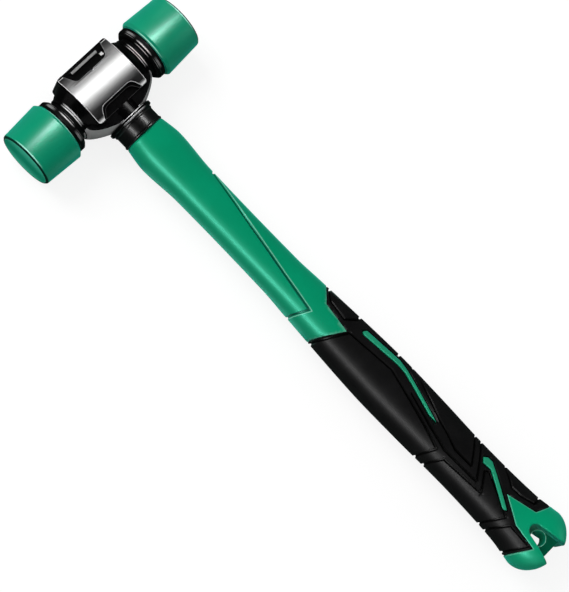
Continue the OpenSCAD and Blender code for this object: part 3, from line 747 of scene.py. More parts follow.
# %% Collar
COLLAR_X, COLLAR_END, COLLAR_R, COLLAR_WAIST, ROD_R = 17.2, 24.2, 9.5, 9.15, 5.02
collar_profile = eased([
    (ROD_R, COLLAR_X, 0), (COLLAR_R - 0.1, COLLAR_X, 0.25), (COLLAR_R, COLLAR_X + 0.5, 0.3),
    (COLLAR_R, COLLAR_X + 1.0, 0.2), (COLLAR_WAIST, COLLAR_X + 1.3, 0.2), (COLLAR_WAIST, COLLAR_END - 1.2, 0.2),
    (COLLAR_R, COLLAR_END - 0.9, 0.2), (COLLAR_R, COLLAR_END - 0.4, 0.3), (COLLAR_WAIST, COLLAR_END, 0.25),
    (ROD_R, COLLAR_END, 0)])
black_ferrule = cloudy(
    "black_ferrule", (0.0012, 0.0012, 0.0013), (0.0025, 0.0025, 0.0026), (0.27, 0.33), (2600, 2), 0.000004,
    {"Specular IOR Level": 0.34}, cloud=(300, 4), spread=(0, 1), wear=(900, 3))
mesh = lathed(collar_profile, "X", closed=True)
collar = link_piece("black_collar", mesh, black_ferrule, "hammer", "collar_black", "collar")
print("collar", len(mesh.polygons), "faces")

# %% [markdown]
# ## The handle's skin
# The handle is one lofted skin: its width and thickness run through ten sections on a smooth curve, and each section
# is a squared oval. Any point of it is a station along the handle and a turn round it, so the green moulding and the
# rubber can share the same skin and fit each other. Rolled out flat, the upper half of the skin is a plain sheet.

# %% The handle's skin
HANDLE_X, HANDLE_L, HALF_BELLY = 24.2, 232.5, 12.0
BUTT_X = HANDLE_X + HANDLE_L
BUTT_SHARE, BUTT_CLOSE, BUTT_THIN = 0.957, 0.87, 0.5
OVAL_POWER, ROLL_R = 2 / 2.4, 10.0
SECTIONS = np.array([0, 0.042, 0.12, 0.33, 0.385, 0.56, 0.67, 0.79, 0.905, BUTT_SHARE])
WIDTHS = np.array([18.2, 20.7, 18.4, 18.4, 19.8, 24, 24, 23, 24.7, 28.3])
THICKNESSES = np.array([16.8, 18, 15.6, 15.6, 17.4, 20.6, 20.6, 19.8, 21, 22.4])


def through_sections(values, share):
    """Smooth curve through the sections, with each slope taken from the neighbours."""
    order = np.arange(len(values))
    low, high = np.maximum(order - 1, 0), np.minimum(order + 1, len(values) - 1)
    slopes = (values[high] - values[low]) / (SECTIONS[high] - SECTIONS[low])
    share = np.minimum(share, BUTT_SHARE)
    i = np.clip(np.searchsorted(SECTIONS, share, side="right") - 1, 0, len(values) - 2)
    h = SECTIONS[i + 1] - SECTIONS[i]
    f = (share - SECTIONS[i]) / h
    return (values[i] * (1 + 2 * f) * (1 - f) ** 2 + values[i + 1] * f * f * (3 - 2 * f)
            + h * f * (1 - f) * (slopes[i] * (1 - f) - slopes[i + 1] * f))


def half_sizes(x):
    share = (np.asarray(x, dtype=float) - HANDLE_X) / HANDLE_L
    run = np.clip((share - BUTT_SHARE) / (1 - BUTT_SHARE), 0, 1)
    return (through_sections(WIDTHS, share) / 2 * np.sqrt(1 - (BUTT_CLOSE * run) ** 2),
            through_sections(THICKNESSES, share) / 2 * np.sqrt(1 - (BUTT_THIN * run) ** 2))


def rolled(points):
    """Points of the plan, as points of the rolled-out sheet."""
    share = np.clip(points[:, 1] / half_sizes(points[:, 0])[0], -1, 1)
    turn = np.arccos(np.sign(share) * np.abs(share) ** (1 / OVAL_POWER))
    return np.stack([points[:, 0], turn * ROLL_R], axis=1)


def on_skin(flat, inset=0):
    """Points of the rolled-out sheet back on the skin, in millimetres, set in by a depth."""
    half_w, half_t = half_sizes(flat[:, 0])
    c, s = np.cos(flat[:, 1] / ROLL_R), np.sin(flat[:, 1] / ROLL_R)
    y = (half_w - inset) * np.sign(c) * np.abs(c) ** OVAL_POWER
    z = (half_t - inset) * np.sign(s) * np.abs(s) ** OVAL_POWER
    return np.stack([flat[:, 0], y, z], axis=1)


print("handle from", HANDLE_X, "to", round(BUTT_X, 1), "mm below the eye")

# %% [markdown]
# ## Outlines on the handle
# Seen from above, the rubber is bounded by a front and a rear edge and has two windows where the green shows as
# slanting inlays. Grooves cut it into pads. Each outline is a short list of corners, as shares of the handle's length
# and of half its belly.

# %% Outlines on the handle


def plan(shares):
    return np.array([[HANDLE_X + HANDLE_L * s, HALF_BELLY * t] for s, t in shares])


front_edge = plan([(0.399, 1.3), (0.402, 0.72), (0.421, 0.27), (0.478, 0.1), (0.446, -0.9), (0.443, -1.3)])
rear_edge = plan([(0.94, 1.3), (0.936, 1), (0.923, 0.46), (0.866, 0.18), (0.913, -0.35), (0.963, -0.5),
                  (0.943, -1.12), (0.941, -1.3)])
shaft_line = plan([(0.123, 0.95), (0.13, 0.665), (0.408, -0.3), (0.389, -0.95)])
inlays = [
    plan([(0.498, 0.525), (0.502, 0.65), (0.578, 0.767), (0.599, 0.696), (0.694, 0.14),
          (0.677, 0.137), (0.599, 0.579), (0.582, 0.608), (0.502, 0.467)]),
    plan([(0.794, 0.517), (0.8, 0.617), (0.81, 0.633), (0.817, 0.558), (0.885, -0.217),
          (0.88, -0.287), (0.875, -0.258), (0.817, 0.396), (0.8, 0.367)]),
]
grooves = [plan(path) for path in (
    [(0.407, 1.3), (0.409, 0.725), (0.414, 0.6), (0.423, 0.45), (0.461, 0.333), (0.478, 0.683), (0.481, 1.3)],
    [(0.45, -1.3), (0.452, -0.89), (0.484, 0.13), (0.578, 0.29), (0.682, -0.225), (0.727, -0.467),
     (0.714, -0.96), (0.712, -1.3)],
    [(0.569, 0.84), (0.577, 1.3)],
    [(0.599, 1.3), (0.604, 0.96), (0.694, 0.29), (0.724, 0.133), (0.75, -0.05), (0.79, -0.04),
     (0.763, 0.74), (0.759, 1.3)],
    [(0.63, 0.215), (0.694, -0.125), (0.737, -0.31), (0.814, -0.283), (0.778, 0.75), (0.774, 1.3)],
    [(0.733, -1.3), (0.734, -0.95), (0.748, -0.525), (0.833, -0.425), (0.81, 0.21), (0.819, 0.267),
     (0.892, -0.41), (0.873, -0.967), (0.872, -1.3)],
    [(0.888, -1.3), (0.889, -0.96), (0.908, -0.475), (0.954, -0.533), (0.936, -1.09), (0.934, -1.3)],
    [(0.831, 1.3), (0.837, 0.825), (0.864, 0.467), (0.885, 0.475), (0.912, 0.64), (0.917, 1.3)],
)]
borders = [(front_edge, False), (rear_edge, False)]
print("grooves:", len(grooves), "inlays:", len(inlays))

# %% [markdown]
# ## Measuring on the plan
# To round an edge or sink a groove, the mesh needs to know how far each of its points lies from a line. These helpers
# measure that distance, tell whether a point is inside an outline, and set a line off to one side.

# %% Plan helpers
MITRE_LIMIT = 0.3


def distance_to(line, points, closed=False):
    """Shortest distance from each point to a line of corners."""
    best = np.full(len(points), np.inf)
    for a, b in zip(line, np.vstack([line[1:], line[:1]]) if closed else line[1:]):
        way = b - a
        share = np.clip((points - a) @ way / (way @ way), 0, 1)
        best = np.minimum(best, np.linalg.norm(points - a - share[:, None] * way, axis=1))
    return best


def inside(outline, points):
    """Whether each point lies inside a closed outline."""
    x, y = points.T
    odd = np.zeros(len(points), dtype=bool)
    for (ax, ay), (bx, by) in zip(outline, np.roll(outline, -1, axis=0)):
        if ay != by:
            odd ^= ((ay > y) != (by > y)) & (x < (bx - ax) * (y - ay) / (by - ay) + ax)
    return odd


def inside_any(outlines, points):
    return np.any([inside(outline, points) for outline in outlines], axis=0)


def beside(line, gap, closed=False):
    """The line set off to its left, with mitred corners."""
    ways = np.roll(line, -1, axis=0) - line
    ways = ways / np.linalg.norm(ways, axis=1)[:, None]
    if not closed:
        ways[-1] = ways[-2]
    lefts = np.stack([-ways[:, 1], ways[:, 0]], axis=1)
    before = np.roll(lefts, 1, axis=0)
    if not closed:
        before[0] = lefts[0]
    mitres = lefts + before
    mitres /= np.linalg.norm(mitres, axis=1)[:, None]
    return line + mitres * (gap / np.maximum((mitres * lefts).sum(axis=1), MITRE_LIMIT))[:, None]


def set_off(line, gaps, closed=False):
    """The line set off by each of some gaps, and whether it is closed."""
    return [(beside(line, gap, closed), closed) for gap in gaps]


def eased_step(distance, full, none):
    """1 up to the full distance, falling smoothly to 0 where there is none."""
    t = np.clip((none - distance) / (none - full), 0, 1)
    return t * t * (3 - 2 * t)


def round_over(distance, radius):
    """Depth of a quarter-round edge at a distance from it."""
    t = np.clip(radius - distance, 0, radius)
    return radius - np.sqrt(radius * radius - t * t)


print("plan helpers ready")

# %% [markdown]
# ## A mesh that follows the lines
# A plain grid would leave saw teeth along a slanting groove. Here the lines are drawn on the rolled-out sheet, and a
# constrained Delaunay triangulation fills it so that every line is an edge of the mesh. The lower half of the skin is
# the same sheet mirrored.

# %% Rolled-out sheet
LINE_STEP, CLEAR_OF_LINE, CLEAR_ON_BORDER, SAME_POINT = 0.5, 0.36, 0.12, 1e-5
ROLL_W = math.pi * ROLL_R


def drawn(line, closed=False):
    """Stretches of a plan line on the rolled-out sheet, cut off at the handle's sides."""
    corners = np.vstack([line, line[:1]]) if closed else line
    samples = []
    for a, b in zip(corners, corners[1:]):
        count = max(1, math.ceil(np.linalg.norm(b - a) / LINE_STEP))
        samples += [a + (b - a) * i / count for i in range(count)]
    samples = np.array(samples + [corners[-1]])
    within = np.abs(samples[:, 1]) < half_sizes(samples[:, 0])[0]
    stretches = [[]]
    for keep, point in zip(within | np.roll(within, 1) | np.roll(within, -1), rolled(samples)):
        if keep:
            stretches[-1].append(point)
        elif stretches[-1]:
            stretches.append([])
    return stretches


def sheet_between(start, end, lines, step_along, step_round):
    """Triangles of the rolled-out sheet between two stations, along the drawn lines."""
    points, edges = [], []
    for line, closed in lines:
        for run in drawn(line, closed):
            inner = [Vector(p) for p in run if start <= p[0] <= end]
            edges += [(len(points) + i, len(points) + i + 1) for i in range(len(inner) - 1)]
            points += inner
    on_lines = kdtree.KDTree(len(points))
    for i, p in enumerate(points):
        on_lines.insert((*p, 0), i)
    on_lines.balance()
    columns, rows = max(2, math.ceil((end - start) / step_along)), math.ceil(ROLL_W / step_round)
    for i in range(columns + 1):
        for j in range(rows + 1):
            p = Vector((start + (end - start) * i / columns, ROLL_W * j / rows))
            border = i in (0, columns) or j in (0, rows)
            if on_lines.find((*p, 0))[2] > (CLEAR_ON_BORDER if border else CLEAR_OF_LINE):
                points.append(p)
    corners, _, faces, _, _, _ = delaunay_2d_cdt(points, edges, [], 0, SAME_POINT)
    return np.array([tuple(c) for c in corners]), [tuple(f) for f in faces]


def plan_places(flat, triangles):
    """Plan places of a sheet's points, and of the middles of its triangles."""
    return on_skin(flat)[:, :2], on_skin(np.array([flat[list(t)].mean(axis=0) for t in triangles]))[:, :2]


print("rolled-out sheet", round(ROLL_W, 1), "mm wide")

# %% [markdown]
# ## Rubber grip
# The rubber is a shell moulded over the green: its outer side has the grooves, the moat round each inlay and rounded
# edges, and its inner side lies on the moulding. The outer sheet is mirrored, and its open edges are joined to an
# inner copy, which closes the shell.

# %% Rubber grip
GROOVE_DEPTH, GROOVE_FLAT, GROOVE_LIP = 0.8, 0.22, 0.62
MOAT_FLAT, MOAT_LIP, MOAT_DEPTH = 0.42, 0.78, 0.75
EDGE_ROUND, UNDER_GAP, PAST_GRIP, GRIP_STEPS = 0.45, 0.03, 1, (0.9, 0.85)
ROUND_GAPS, GROOVE_GAPS, MOAT_GAPS = (0.15, EDGE_ROUND), (GROOVE_LIP, 0.42, GROOVE_FLAT), (0, MOAT_FLAT, 0.6, MOAT_LIP)
WALL_THIN, WALL_FULL, THIN_SHARE, FULL_SHARE = 0.6, 1.9, 0.34, 0.42


def wall(x):
    return np.interp((x - HANDLE_X) / HANDLE_L, [THIN_SHARE, FULL_SHARE], [WALL_THIN, WALL_FULL])


def sunk_rubber(points):
    return np.max(
        [GROOVE_DEPTH * eased_step(distance_to(path, points), GROOVE_FLAT, GROOVE_LIP) for path in grooves]
        + [MOAT_DEPTH * eased_step(distance_to(o, points, True), MOAT_FLAT, MOAT_LIP) for o in inlays]
        + [round_over(distance_to(edge, points), EDGE_ROUND) for edge, _ in borders], axis=0)


grip_lines = borders + set_off(front_edge, [-gap for gap in ROUND_GAPS]) + set_off(rear_edge, ROUND_GAPS)
for path in grooves:
    grip_lines += set_off(path, [-gap for gap in GROOVE_GAPS] + sorted(GROOVE_GAPS))
for outline in inlays:
    grip_lines += set_off(outline, MOAT_GAPS, True)
grip_start, grip_end = front_edge[:, 0].min() - PAST_GRIP, rear_edge[:, 0].max() + PAST_GRIP
flat, triangles = sheet_between(grip_start, grip_end, grip_lines, *GRIP_STEPS)
print("grip sheet:", len(flat), "points", len(triangles), "triangles")

# %% The two sides of the rubber
SEAM = 1e-4


def mirrored_sheet(points, faces, painted_shading=()):
    """Bmesh of an upper sheet and its mirror image below, merged along the handle's sides."""
    form = bmesh.new()
    # Each point carries its painted shading: above 0 for painted shade, below 0 for painted light.
    layer = form.verts.layers.float.new("painted_shading")
    for flip in (1, -1):
        verts = [form.verts.new((x, y, z * flip)) for x, y, z in points]
        for vert, depth in zip(verts, painted_shading):
            vert[layer] = depth
        for f in faces:
            form.faces.new([verts[i] for i in f[::flip]])
    bmesh.ops.delete(form, geom=[v for v in form.verts if not v.link_faces], context="VERTS")
    bmesh.ops.remove_doubles(form, verts=[v for v in form.verts if abs(v.co.z) < SEAM], dist=SEAM)
    return form


flat_plan, middles = plan_places(flat, triangles)
kept = inside(np.vstack([front_edge, rear_edge[::-1]]), middles) & ~inside_any(inlays, middles)
rubber = [t for t, keep in zip(triangles, kept) if keep]
depth = sunk_rubber(flat_plan)
# Each point's depth, as a share of a groove's depth, is its painted shade.
outer = mirrored_sheet(on_skin(flat, depth), rubber, depth / GROOVE_DEPTH)
inner = mirrored_sheet(on_skin(flat, wall(flat[:, 0]) - UNDER_GAP), rubber)
print("rubber open edges:", sum(e.is_boundary for e in outer.edges), sum(e.is_boundary for e in inner.edges))

# %% Close the rubber shell


def joined_shell(outer, inner):
    """One closed bmesh of two sheets with the same layout, walled in along their open edges. Both are used up."""
    tops, rims = list(outer.verts), [tuple(e.verts) for e in outer.edges if e.is_boundary]
    twins = {v: outer.verts.new(v.co) for v in inner.verts}
    below = dict(zip(tops, twins.values()))
    for f in inner.faces:
        outer.faces.new([twins[v] for v in reversed(f.verts)])
    for a, b in rims:
        outer.faces.new([a, b, below[b], below[a]])
    inner.free()
    return outer


def finished_mesh(form, sharp_degrees):
    """Mesh of a bmesh that is in millimetres from the eye."""
    for v in form.verts:
        v.co = placed(v.co)
    return mesh_from(form, sharp_degrees)


mesh = finished_mesh(joined_shell(outer, inner), GRIP_SHARP)
grip = link_piece("rubber_grip", mesh, black_rubber, "hammer", "grip_rubber", "grip")
print("rubber grip:", len(mesh.polygons), "faces")

# %% [markdown]
# ## Green moulding
# The moulding is one solid. Where it shows, on the shaft, the butt and the inlays, it comes out to the skin; under the
# rubber it lies a wall deeper. The same sheet method makes it, with a step wherever a showing triangle meets a
# covered one.

# %% Green moulding sheet
LINE_DEPTH, LINE_FLAT, LINE_LIP = 0.6, 0.25, 0.62
INLAY_ROUND, COLLAR_ROUND, BUTT_ROUND, SLOT_ROUND, GREEN_STEPS = 0.3, 0.6, 0.9, 0.55, (1.0, 1.0)
SLOT_R, SLOT_MOUTH, SLOT_L, SLOT_STEPS, PAST_BUTT, PAST_SIDE = 2.9, 5.4, 15.6, 25, 1, 20
SLOT_X = BUTT_X - SLOT_L + SLOT_R


def round_line(x, radius, degrees):
    """Points of the plan round a place on the handle's axis, at some turns."""
    turns = np.radians(degrees)
    return np.stack([x + radius * np.cos(turns), radius * np.sin(turns)], axis=1)


slot_outline = np.vstack([
    [(BUTT_X + PAST_BUTT, SLOT_MOUTH), (BUTT_X, SLOT_MOUTH)],
    round_line(SLOT_X, SLOT_R, np.linspace(90, 270, SLOT_STEPS)),
    [(BUTT_X, -SLOT_MOUTH), (BUTT_X + PAST_BUTT, -SLOT_MOUTH)]])
green_borders = borders + [(outline, True) for outline in inlays]


def sunk_green(points):
    return np.max([
        LINE_DEPTH * eased_step(distance_to(shaft_line, points), LINE_FLAT, LINE_LIP),
        round_over(points[:, 0] - HANDLE_X, COLLAR_ROUND), round_over(BUTT_X - points[:, 0], BUTT_ROUND),
        round_over(distance_to(slot_outline, points), SLOT_ROUND),
        *(round_over(distance_to(line, points, closed), INLAY_ROUND) for line, closed in green_borders)], axis=0)


INLAY_GAPS, EDGE_GAPS = (-0.1, -INLAY_ROUND, -0.6), (0.1, INLAY_ROUND, 0.5)
SLOT_GAPS = (-SLOT_ROUND, -0.3, -0.12, -0.02, 0.1)
LINE_GAPS = (-LINE_LIP, -0.43, -LINE_FLAT, LINE_FLAT, 0.43, LINE_LIP, 0.8, 1.0)
COLLAR_GAPS, BUTT_GAPS = (0.08, 0.25, COLLAR_ROUND), (-BUTT_ROUND, -0.45, -0.15, -0.03)
green_lines = list(green_borders)
for outline in inlays:
    green_lines += set_off(outline, INLAY_GAPS, True)
for edge, _ in borders:
    green_lines += set_off(edge, EDGE_GAPS)
green_lines += set_off(shaft_line, LINE_GAPS) + set_off(slot_outline, SLOT_GAPS)
for end, gaps in ((HANDLE_X, COLLAR_GAPS), (BUTT_X, BUTT_GAPS)):
    green_lines += [(np.array([(end + gap, -PAST_SIDE), (end + gap, PAST_SIDE)]), False) for gap in gaps]
flat, triangles = sheet_between(HANDLE_X, BUTT_X, green_lines, *GREEN_STEPS)
print("green sheet:", len(flat), "points", len(triangles), "triangles")

# %% Step between the shaft and what the rubber covers
PAST_END = 5
flat_plan, middles = plan_places(flat, triangles)
shaft_plan = np.vstack([[(HANDLE_X - PAST_END, -PAST_SIDE), (HANDLE_X - PAST_END, PAST_SIDE)], front_edge])
butt_plan = np.vstack([rear_edge, [(BUTT_X + PAST_END, -PAST_SIDE), (BUTT_X + PAST_END, PAST_SIDE)]])
count = len(flat)
stepped = np.vstack([on_skin(flat, sunk_green(flat_plan)), on_skin(flat, wall(flat[:, 0]) + UNDER_GAP)])
faces, owners = [], {}
for t, top in zip(triangles, inside_any([shaft_plan, butt_plan, *inlays], middles)):
    faces.append(t if top else tuple(i + count for i in t))
    for a, b in zip(t, t[1:] + t[:1]):
        owners.setdefault((min(a, b), max(a, b)), []).append((a, b, top))
for pair in owners.values():
    if len(pair) == 2 and pair[0][2] != pair[1][2]:
        a, b, _ = pair[0] if pair[0][2] else pair[1]
        faces.append((b, a, a + count, b + count))
print("moulding:", len(faces), "faces on its upper half")

# %% Painted shade and painted highlights on the moulding
INLAY_PALER, INLAY_SKIN = 0.06, 0.02
EDGE_HIGHLIGHT, EDGE_FLAT, EDGE_END = 0.3, 0.2, 0.5
CREST_GAP, CREST_HIGHLIGHT, CREST_FLAT, CREST_END = 0.7, 0.75, 0.05, 0.26
# Painted shade down the groove of the shaft's line.
shade = eased_step(distance_to(shaft_line, flat_plan), LINE_FLAT, LINE_LIP)
# Painted highlights along the green's edges against the rubber.
for edge, _ in borders:
    shade -= EDGE_HIGHLIGHT * eased_step(distance_to(edge, flat_plan), EDGE_FLAT, EDGE_END)
# Painted highlight along the crest beside the shaft's line.
shade -= CREST_HIGHLIGHT * eased_step(distance_to(beside(shaft_line, CREST_GAP), flat_plan), CREST_FLAT, CREST_END)
# The inlays are a little paler all over.
for outline in inlays:
    shade[inside(outline, flat_plan) | (distance_to(outline, flat_plan, True) < INLAY_SKIN)] = -INLAY_PALER
# Points that the rubber covers get full painted shade.
form = mirrored_sheet(stepped, faces, np.concatenate([shade, np.ones(count)]))
print("green sheet open edges:", sum(e.is_boundary for e in form.edges))

# %% [markdown]
# ## Ends of the moulding
# At the collar the moulding is closed by a flat ring round the bore for the core rod. At the butt the last ring of
# the skin is filled. The hanging slot and its hole are then cut with exact booleans, as a milling cutter would.

# %% Close the moulding
ROD_END, ON_END = 206.0, 1e-3
front_rim = [e for e in form.edges if e.is_boundary and all(abs(v.co.x - HANDLE_X) < ON_END for v in e.verts)]
bored = {}
for v in dict.fromkeys(v for e in front_rim for v in e.verts):
    angle = math.atan2(v.co.z, v.co.y)
    bored[v] = [form.verts.new((x, ROD_R * math.cos(angle), ROD_R * math.sin(angle))) for x in (HANDLE_X, ROD_END)]
tip = form.verts.new((ROD_END, 0, 0))
for e in front_rim:
    a, b = e.verts
    form.faces.new((a, b, bored[b][0], bored[a][0]))
    form.faces.new((bored[a][0], bored[b][0], bored[b][1], bored[a][1]))
    form.faces.new((bored[a][1], bored[b][1], tip))
rear_rim = [e for e in form.edges if e.is_boundary]
print("rims:", len(front_rim), len(rear_rim))
bmesh.ops.holes_fill(form, edges=rear_rim)
mesh = finished_mesh(form, HANDLE_SHARP)
handle = link_piece("green_handle", mesh, green_moulding, "hammer", "jacket_green", "handle_jacket")
print("handle:", len(mesh.polygons), "faces")

# %% Cut the hanging slot
WEB_BACK, FAR, HOLE_STEPS = 2.5, 16.0, 64


def prism(outline, low, high):
    """Closed solid of a plan outline between two heights, as a cutter."""
    form = bmesh.new()
    bottom, top = ([form.verts.new(placed((x, y, z))) for x, y in outline] for z in (low, high))
    form.faces.new(bottom[::-1])
    form.faces.new(top)
    for i in range(len(outline)):
        form.faces.new((bottom[i - 1], bottom[i], top[i], top[i - 1]))
    return added("cutter", mesh_from(form, HANDLE_SHARP))


def solved_mesh(thing):
    """Plain mesh of an object with its modifiers worked out."""
    bpy.context.view_layer.update()
    return bpy.data.meshes.new_from_object(thing.evaluated_get(bpy.context.evaluated_depsgraph_get()))


end_x = BUTT_X - WEB_BACK
end_half = np.interp(end_x, [SLOT_X, BUTT_X], [SLOT_R, SLOT_MOUTH])
end_outline = [(end_x, -end_half), *slot_outline[[-2, -1, 0, 1]], (end_x, end_half)]
hole_outline = round_line(HOLE_X, HOLE_R, np.linspace(0, 360, HOLE_STEPS, endpoint=False))
cutters = [prism(slot_outline, WEB, FAR), prism(slot_outline, -FAR, -WEB), prism(end_outline, -FAR, FAR),
           prism(hole_outline, -FAR, FAR)]
for cutter in cutters:
    cut = handle.modifiers.new("slot", "BOOLEAN")
    cut.operation, cut.solver, cut.object = "DIFFERENCE", "EXACT", cutter
mesh = solved_mesh(handle)
handle.modifiers.clear()
for cutter in cutters:
    bpy.data.objects.remove(cutter)
handle.data = mesh
mesh.name = "green_handle"
smooth_shaded(mesh, HANDLE_SHARP)
print("handle cut:", len(mesh.polygons), "faces")

# %% [markdown]
# ## Studs
# A steel stud with a rolled thread holds each face, over a lock washer with sprung teeth. They show only when a face
# is unscrewed. The thread follows a rule, a height that climbs one pitch in each turn, so Geometry Nodes make it: a
# fine cylinder whose points move in and out by a wave of height and turn.

# %% Plated steel finish
plated_steel = cloudy(
    "plated_steel", (0.42, 0.42, 0.44), (0.56, 0.56, 0.57), (0.24, 0.38), (3000, 3), 0.000004, {"Metallic": 0.8},
    cloud=(500, 4), spread=(0, 1), wear=(1500, 3))
print("finish:", plated_steel.name)

# %% Thread tree
THREAD_STEPS, THREAD_RINGS, FLANKS, LEAD_L, LEAD_DEPTH = 48, 188, (0.05, 0.42), 1.2 * MM, 0.85 * MM
STUD_SIZES = {"Radius": 5 * MM, "Pitch": 1.5 * MM, "Length": 23.5 * MM, "Thread Depth": 0.8 * MM,
              "Head Radius": 7.5 * MM, "Head Length": 4 * MM}


def new_tree(name, sizes):
    """Geometry tree with a named input for each size, and a Wire from each input."""
    tree = bpy.data.node_groups.new(name, "GeometryNodeTree")
    tree.interface.new_socket("Geometry", in_out="OUTPUT", socket_type="NodeSocketGeometry")
    for size, value in sizes.items():
        socket = tree.interface.new_socket(size, in_out="INPUT", socket_type="NodeSocketFloat")
        socket.default_value = value
    given = node(tree, "NodeGroupInput").outputs
    return tree, {size: Wire(tree, given[size]) for size in sizes}


def hand_out(tree, geometry):
    """Send a tree's geometry out as plain plated mesh."""
    real = wire(tree, "GeometryNodeRealizeInstances", {0: geometry})
    coat = wire(tree, "GeometryNodeSetMaterial", {"Geometry": real, "Material": plated_steel})
    node(tree, "NodeGroupOutput", {0: coat})
    print(tree.name, "has", len(tree.nodes), "nodes")


thread, given = new_tree("rolled_thread", STUD_SIZES)
blank = wire(thread, "GeometryNodeMeshCylinder", {
    "Vertices": THREAD_STEPS, "Side Segments": THREAD_RINGS,
    "Radius": given["Radius"], "Depth": given["Length"]}, "Mesh")
x, y, z = split(wire(thread, "GeometryNodeInputPosition"))
wave = z / given["Pitch"] - y.math("ARCTAN2", x) / (2 * math.pi)
dip = ranged(wave.math("PINGPONG", 0.5), 1.0, 0.0, *FLANKS) * given["Thread Depth"]
half = given["Length"] * 0.5
lead = ranged(z + half, LEAD_DEPTH, 0.0, 0.0, LEAD_L)
reach = mixed(half - z < given["Head Length"], given["Radius"] - largest(dip, lead), given["Head Radius"])
radial = wire(thread, "ShaderNodeCombineXYZ", {"X": x, "Y": y})
radial = wire(thread, "ShaderNodeVectorMath", {0: radial}, operation="NORMALIZE")
radial = wire(thread, "ShaderNodeVectorMath", {0: radial, "Scale": reach}, operation="SCALE")
spot = wire(thread, "ShaderNodeVectorMath", {0: radial, 1: wire(thread, "ShaderNodeCombineXYZ", {"Z": z})})
hand_out(thread, wire(thread, "GeometryNodeSetPosition", {"Geometry": blank, "Position": spot}))

# %% Studs
STUD_GRIP = 11.5


def on_head(side, station):
    """Matrix that carries a piece made along Z to a station on the head's axis, pointing outwards."""
    turned = Matrix.Rotation(math.radians(-90 * side), 4, "X")
    return Matrix.Translation(Vector(placed((0, side * station, 0)))) @ turned


def baked(tree, place):
    """Plain mesh of what a geometry tree makes, moved by a matrix."""
    holder = added("holder", bpy.data.meshes.new("holder"))
    holder.modifiers.new("maker", "NODES").node_group = tree
    form = bmesh.new()
    form.from_mesh(solved_mesh(holder))
    form.transform(place)
    bpy.data.objects.remove(holder)
    return mesh_from(form, PLATED_SHARP)


def plated_pair(tree, station, piece, body, kind):
    """The near and the far piece that a tree makes, at a station on the head's axis."""
    pair = []
    for name, side in SIDES:
        mesh = baked(tree, on_head(side, station))
        pair.append(link_piece(piece + name, mesh, plated_steel, name + body, kind + "_steel", kind + "_" + name))
        print(piece + name, len(mesh.polygons), "faces")
    return pair


stud_middle = SEAT_Y + STUD_GRIP - STUD_SIZES["Length"] / MM / 2
plated = plated_pair(thread, stud_middle, "threaded_stud_", "_face", "stud")

# %% [markdown]
# ## Lock washers
# A tooth lock washer is a thin ring with twisted teeth round it. One tooth is made and Geometry Nodes repeat it round
# a circle, each turned to face outwards.

# %% Washer tree
RING_STEPS, TOOTH_OUT = 72, 1.1 * MM
WASHER_SIZES = {"Ring Radius": 6.2 * MM, "Ring Width": 1.7 * MM, "Thickness": 1.0 * MM, "Tooth Count": 12,
                "Tooth Length": 1.5 * MM, "Tooth Width": 2.3 * MM, "Twist": math.radians(13)}
washer, given = new_tree("tooth_washer", WASHER_SIZES)


def circle(steps, radius):
    return wire(washer, "GeometryNodeCurvePrimitiveCircle", {"Resolution": steps, "Radius": radius})


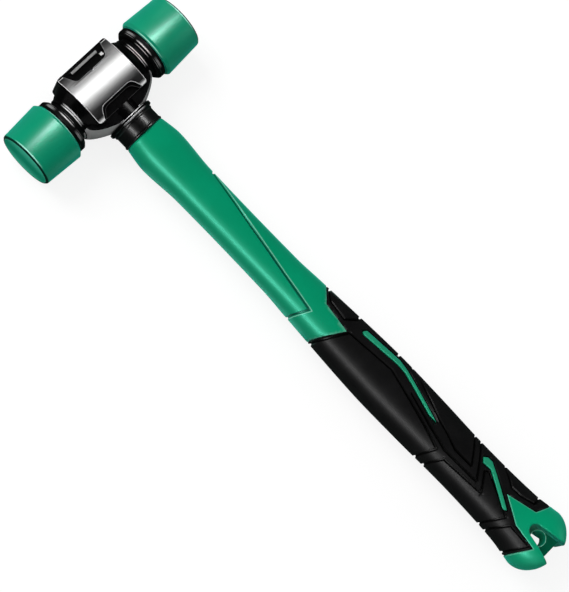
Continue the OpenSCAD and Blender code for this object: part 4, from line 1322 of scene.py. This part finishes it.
band = wire(washer, "GeometryNodeCurvePrimitiveQuadrilateral", {
    "Width": given["Ring Width"], "Height": given["Thickness"]})
ring = wire(washer, "GeometryNodeCurveToMesh", {
    "Curve": circle(RING_STEPS, given["Ring Radius"]), "Profile Curve": band})
tooth_size = wire(washer, "ShaderNodeCombineXYZ", {
    "X": given["Tooth Length"], "Y": given["Tooth Width"], "Z": given["Thickness"]})
tooth = wire(washer, "GeometryNodeMeshCube", {"Size": tooth_size}, "Mesh")
spots = wire(washer, "GeometryNodeCurveToPoints", {
    "Curve": circle(given["Tooth Count"], given["Ring Radius"] + TOOTH_OUT), "Count": given["Tooth Count"]}, "Points")
x, y, _ = split(wire(washer, "GeometryNodeInputPosition"))
facing = wire(washer, "ShaderNodeCombineXYZ", {"X": given["Twist"], "Z": y.math("ARCTAN2", x)})
teeth = wire(washer, "GeometryNodeInstanceOnPoints", {"Points": spots, "Instance": tooth, "Rotation": facing})
both = node(washer, "GeometryNodeJoinGeometry", {0: teeth})
fill(both, {0: ring})
hand_out(washer, Wire(washer, both.outputs[0]))

# %% Lock washers
plated += plated_pair(washer, SEAT_Y + RECESS_L / 2, "lock_washer_", "_washer", "washer")

# %% [markdown]
# ## Core rod and bond
# Inside the handle runs a rod of glass fibre, bonded into the head's eye with resin. Their solids already have the
# right shape, so they keep it and get a finish: pale fibres drawn out along the rod, and cloudy amber resin.

# %% Core rod and bond
ALONG_THE_ROD = (0.03, 1, 1)
glass_fibre, tree, shader = new_material("glass_fibre")
strands = noise(tree, 3000, 4, ALONG_THE_ROD)
fill(shader, {
    "Base Color": blended(strands, (0.45, 0.42, 0.30), (0.72, 0.68, 0.52)),
    "Roughness": ranged(strands, 0.35, 0.55), "Normal": bumped(strands, 0.00002)})
eye_resin = cloudy(
    "eye_resin", (0.40, 0.30, 0.12), (0.55, 0.44, 0.20), (0.2, 0.4), (1800, 3), 0.00001, {"IOR": 1.5})
for name, material in (("core_rod", glass_fibre), ("eye_bond", eye_resin)):
    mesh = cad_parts[name].data
    mesh.materials.clear()
    mesh.materials.append(material)
    print(name, "finished with", material.name)

# %% [markdown]
# ## Flags
# In a studio, black cards called flags keep a lamp's light off the parts it isn't meant for. Light linking does the
# same: the strip falls on the handle, the rubber and the collar, the small box on the head, its faces and the plated
# steel, and the box on the far side on the collar and the plated steel.

# %% Flags


def flagged(lamp, *pieces):
    """Let a lamp fall on the given pieces alone."""
    group = bpy.data.collections.new(lamp.name + "_falls_on")
    for piece in pieces:
        group.objects.link(piece)
    lamp.light_linking.receiver_collection = group
    print(lamp.name, "falls on", [piece.name for piece in pieces])


flagged(strip, handle, grip, collar)
flagged(head_box, head, *nylon_faces, *plated)
flagged(side_box, collar, *plated)
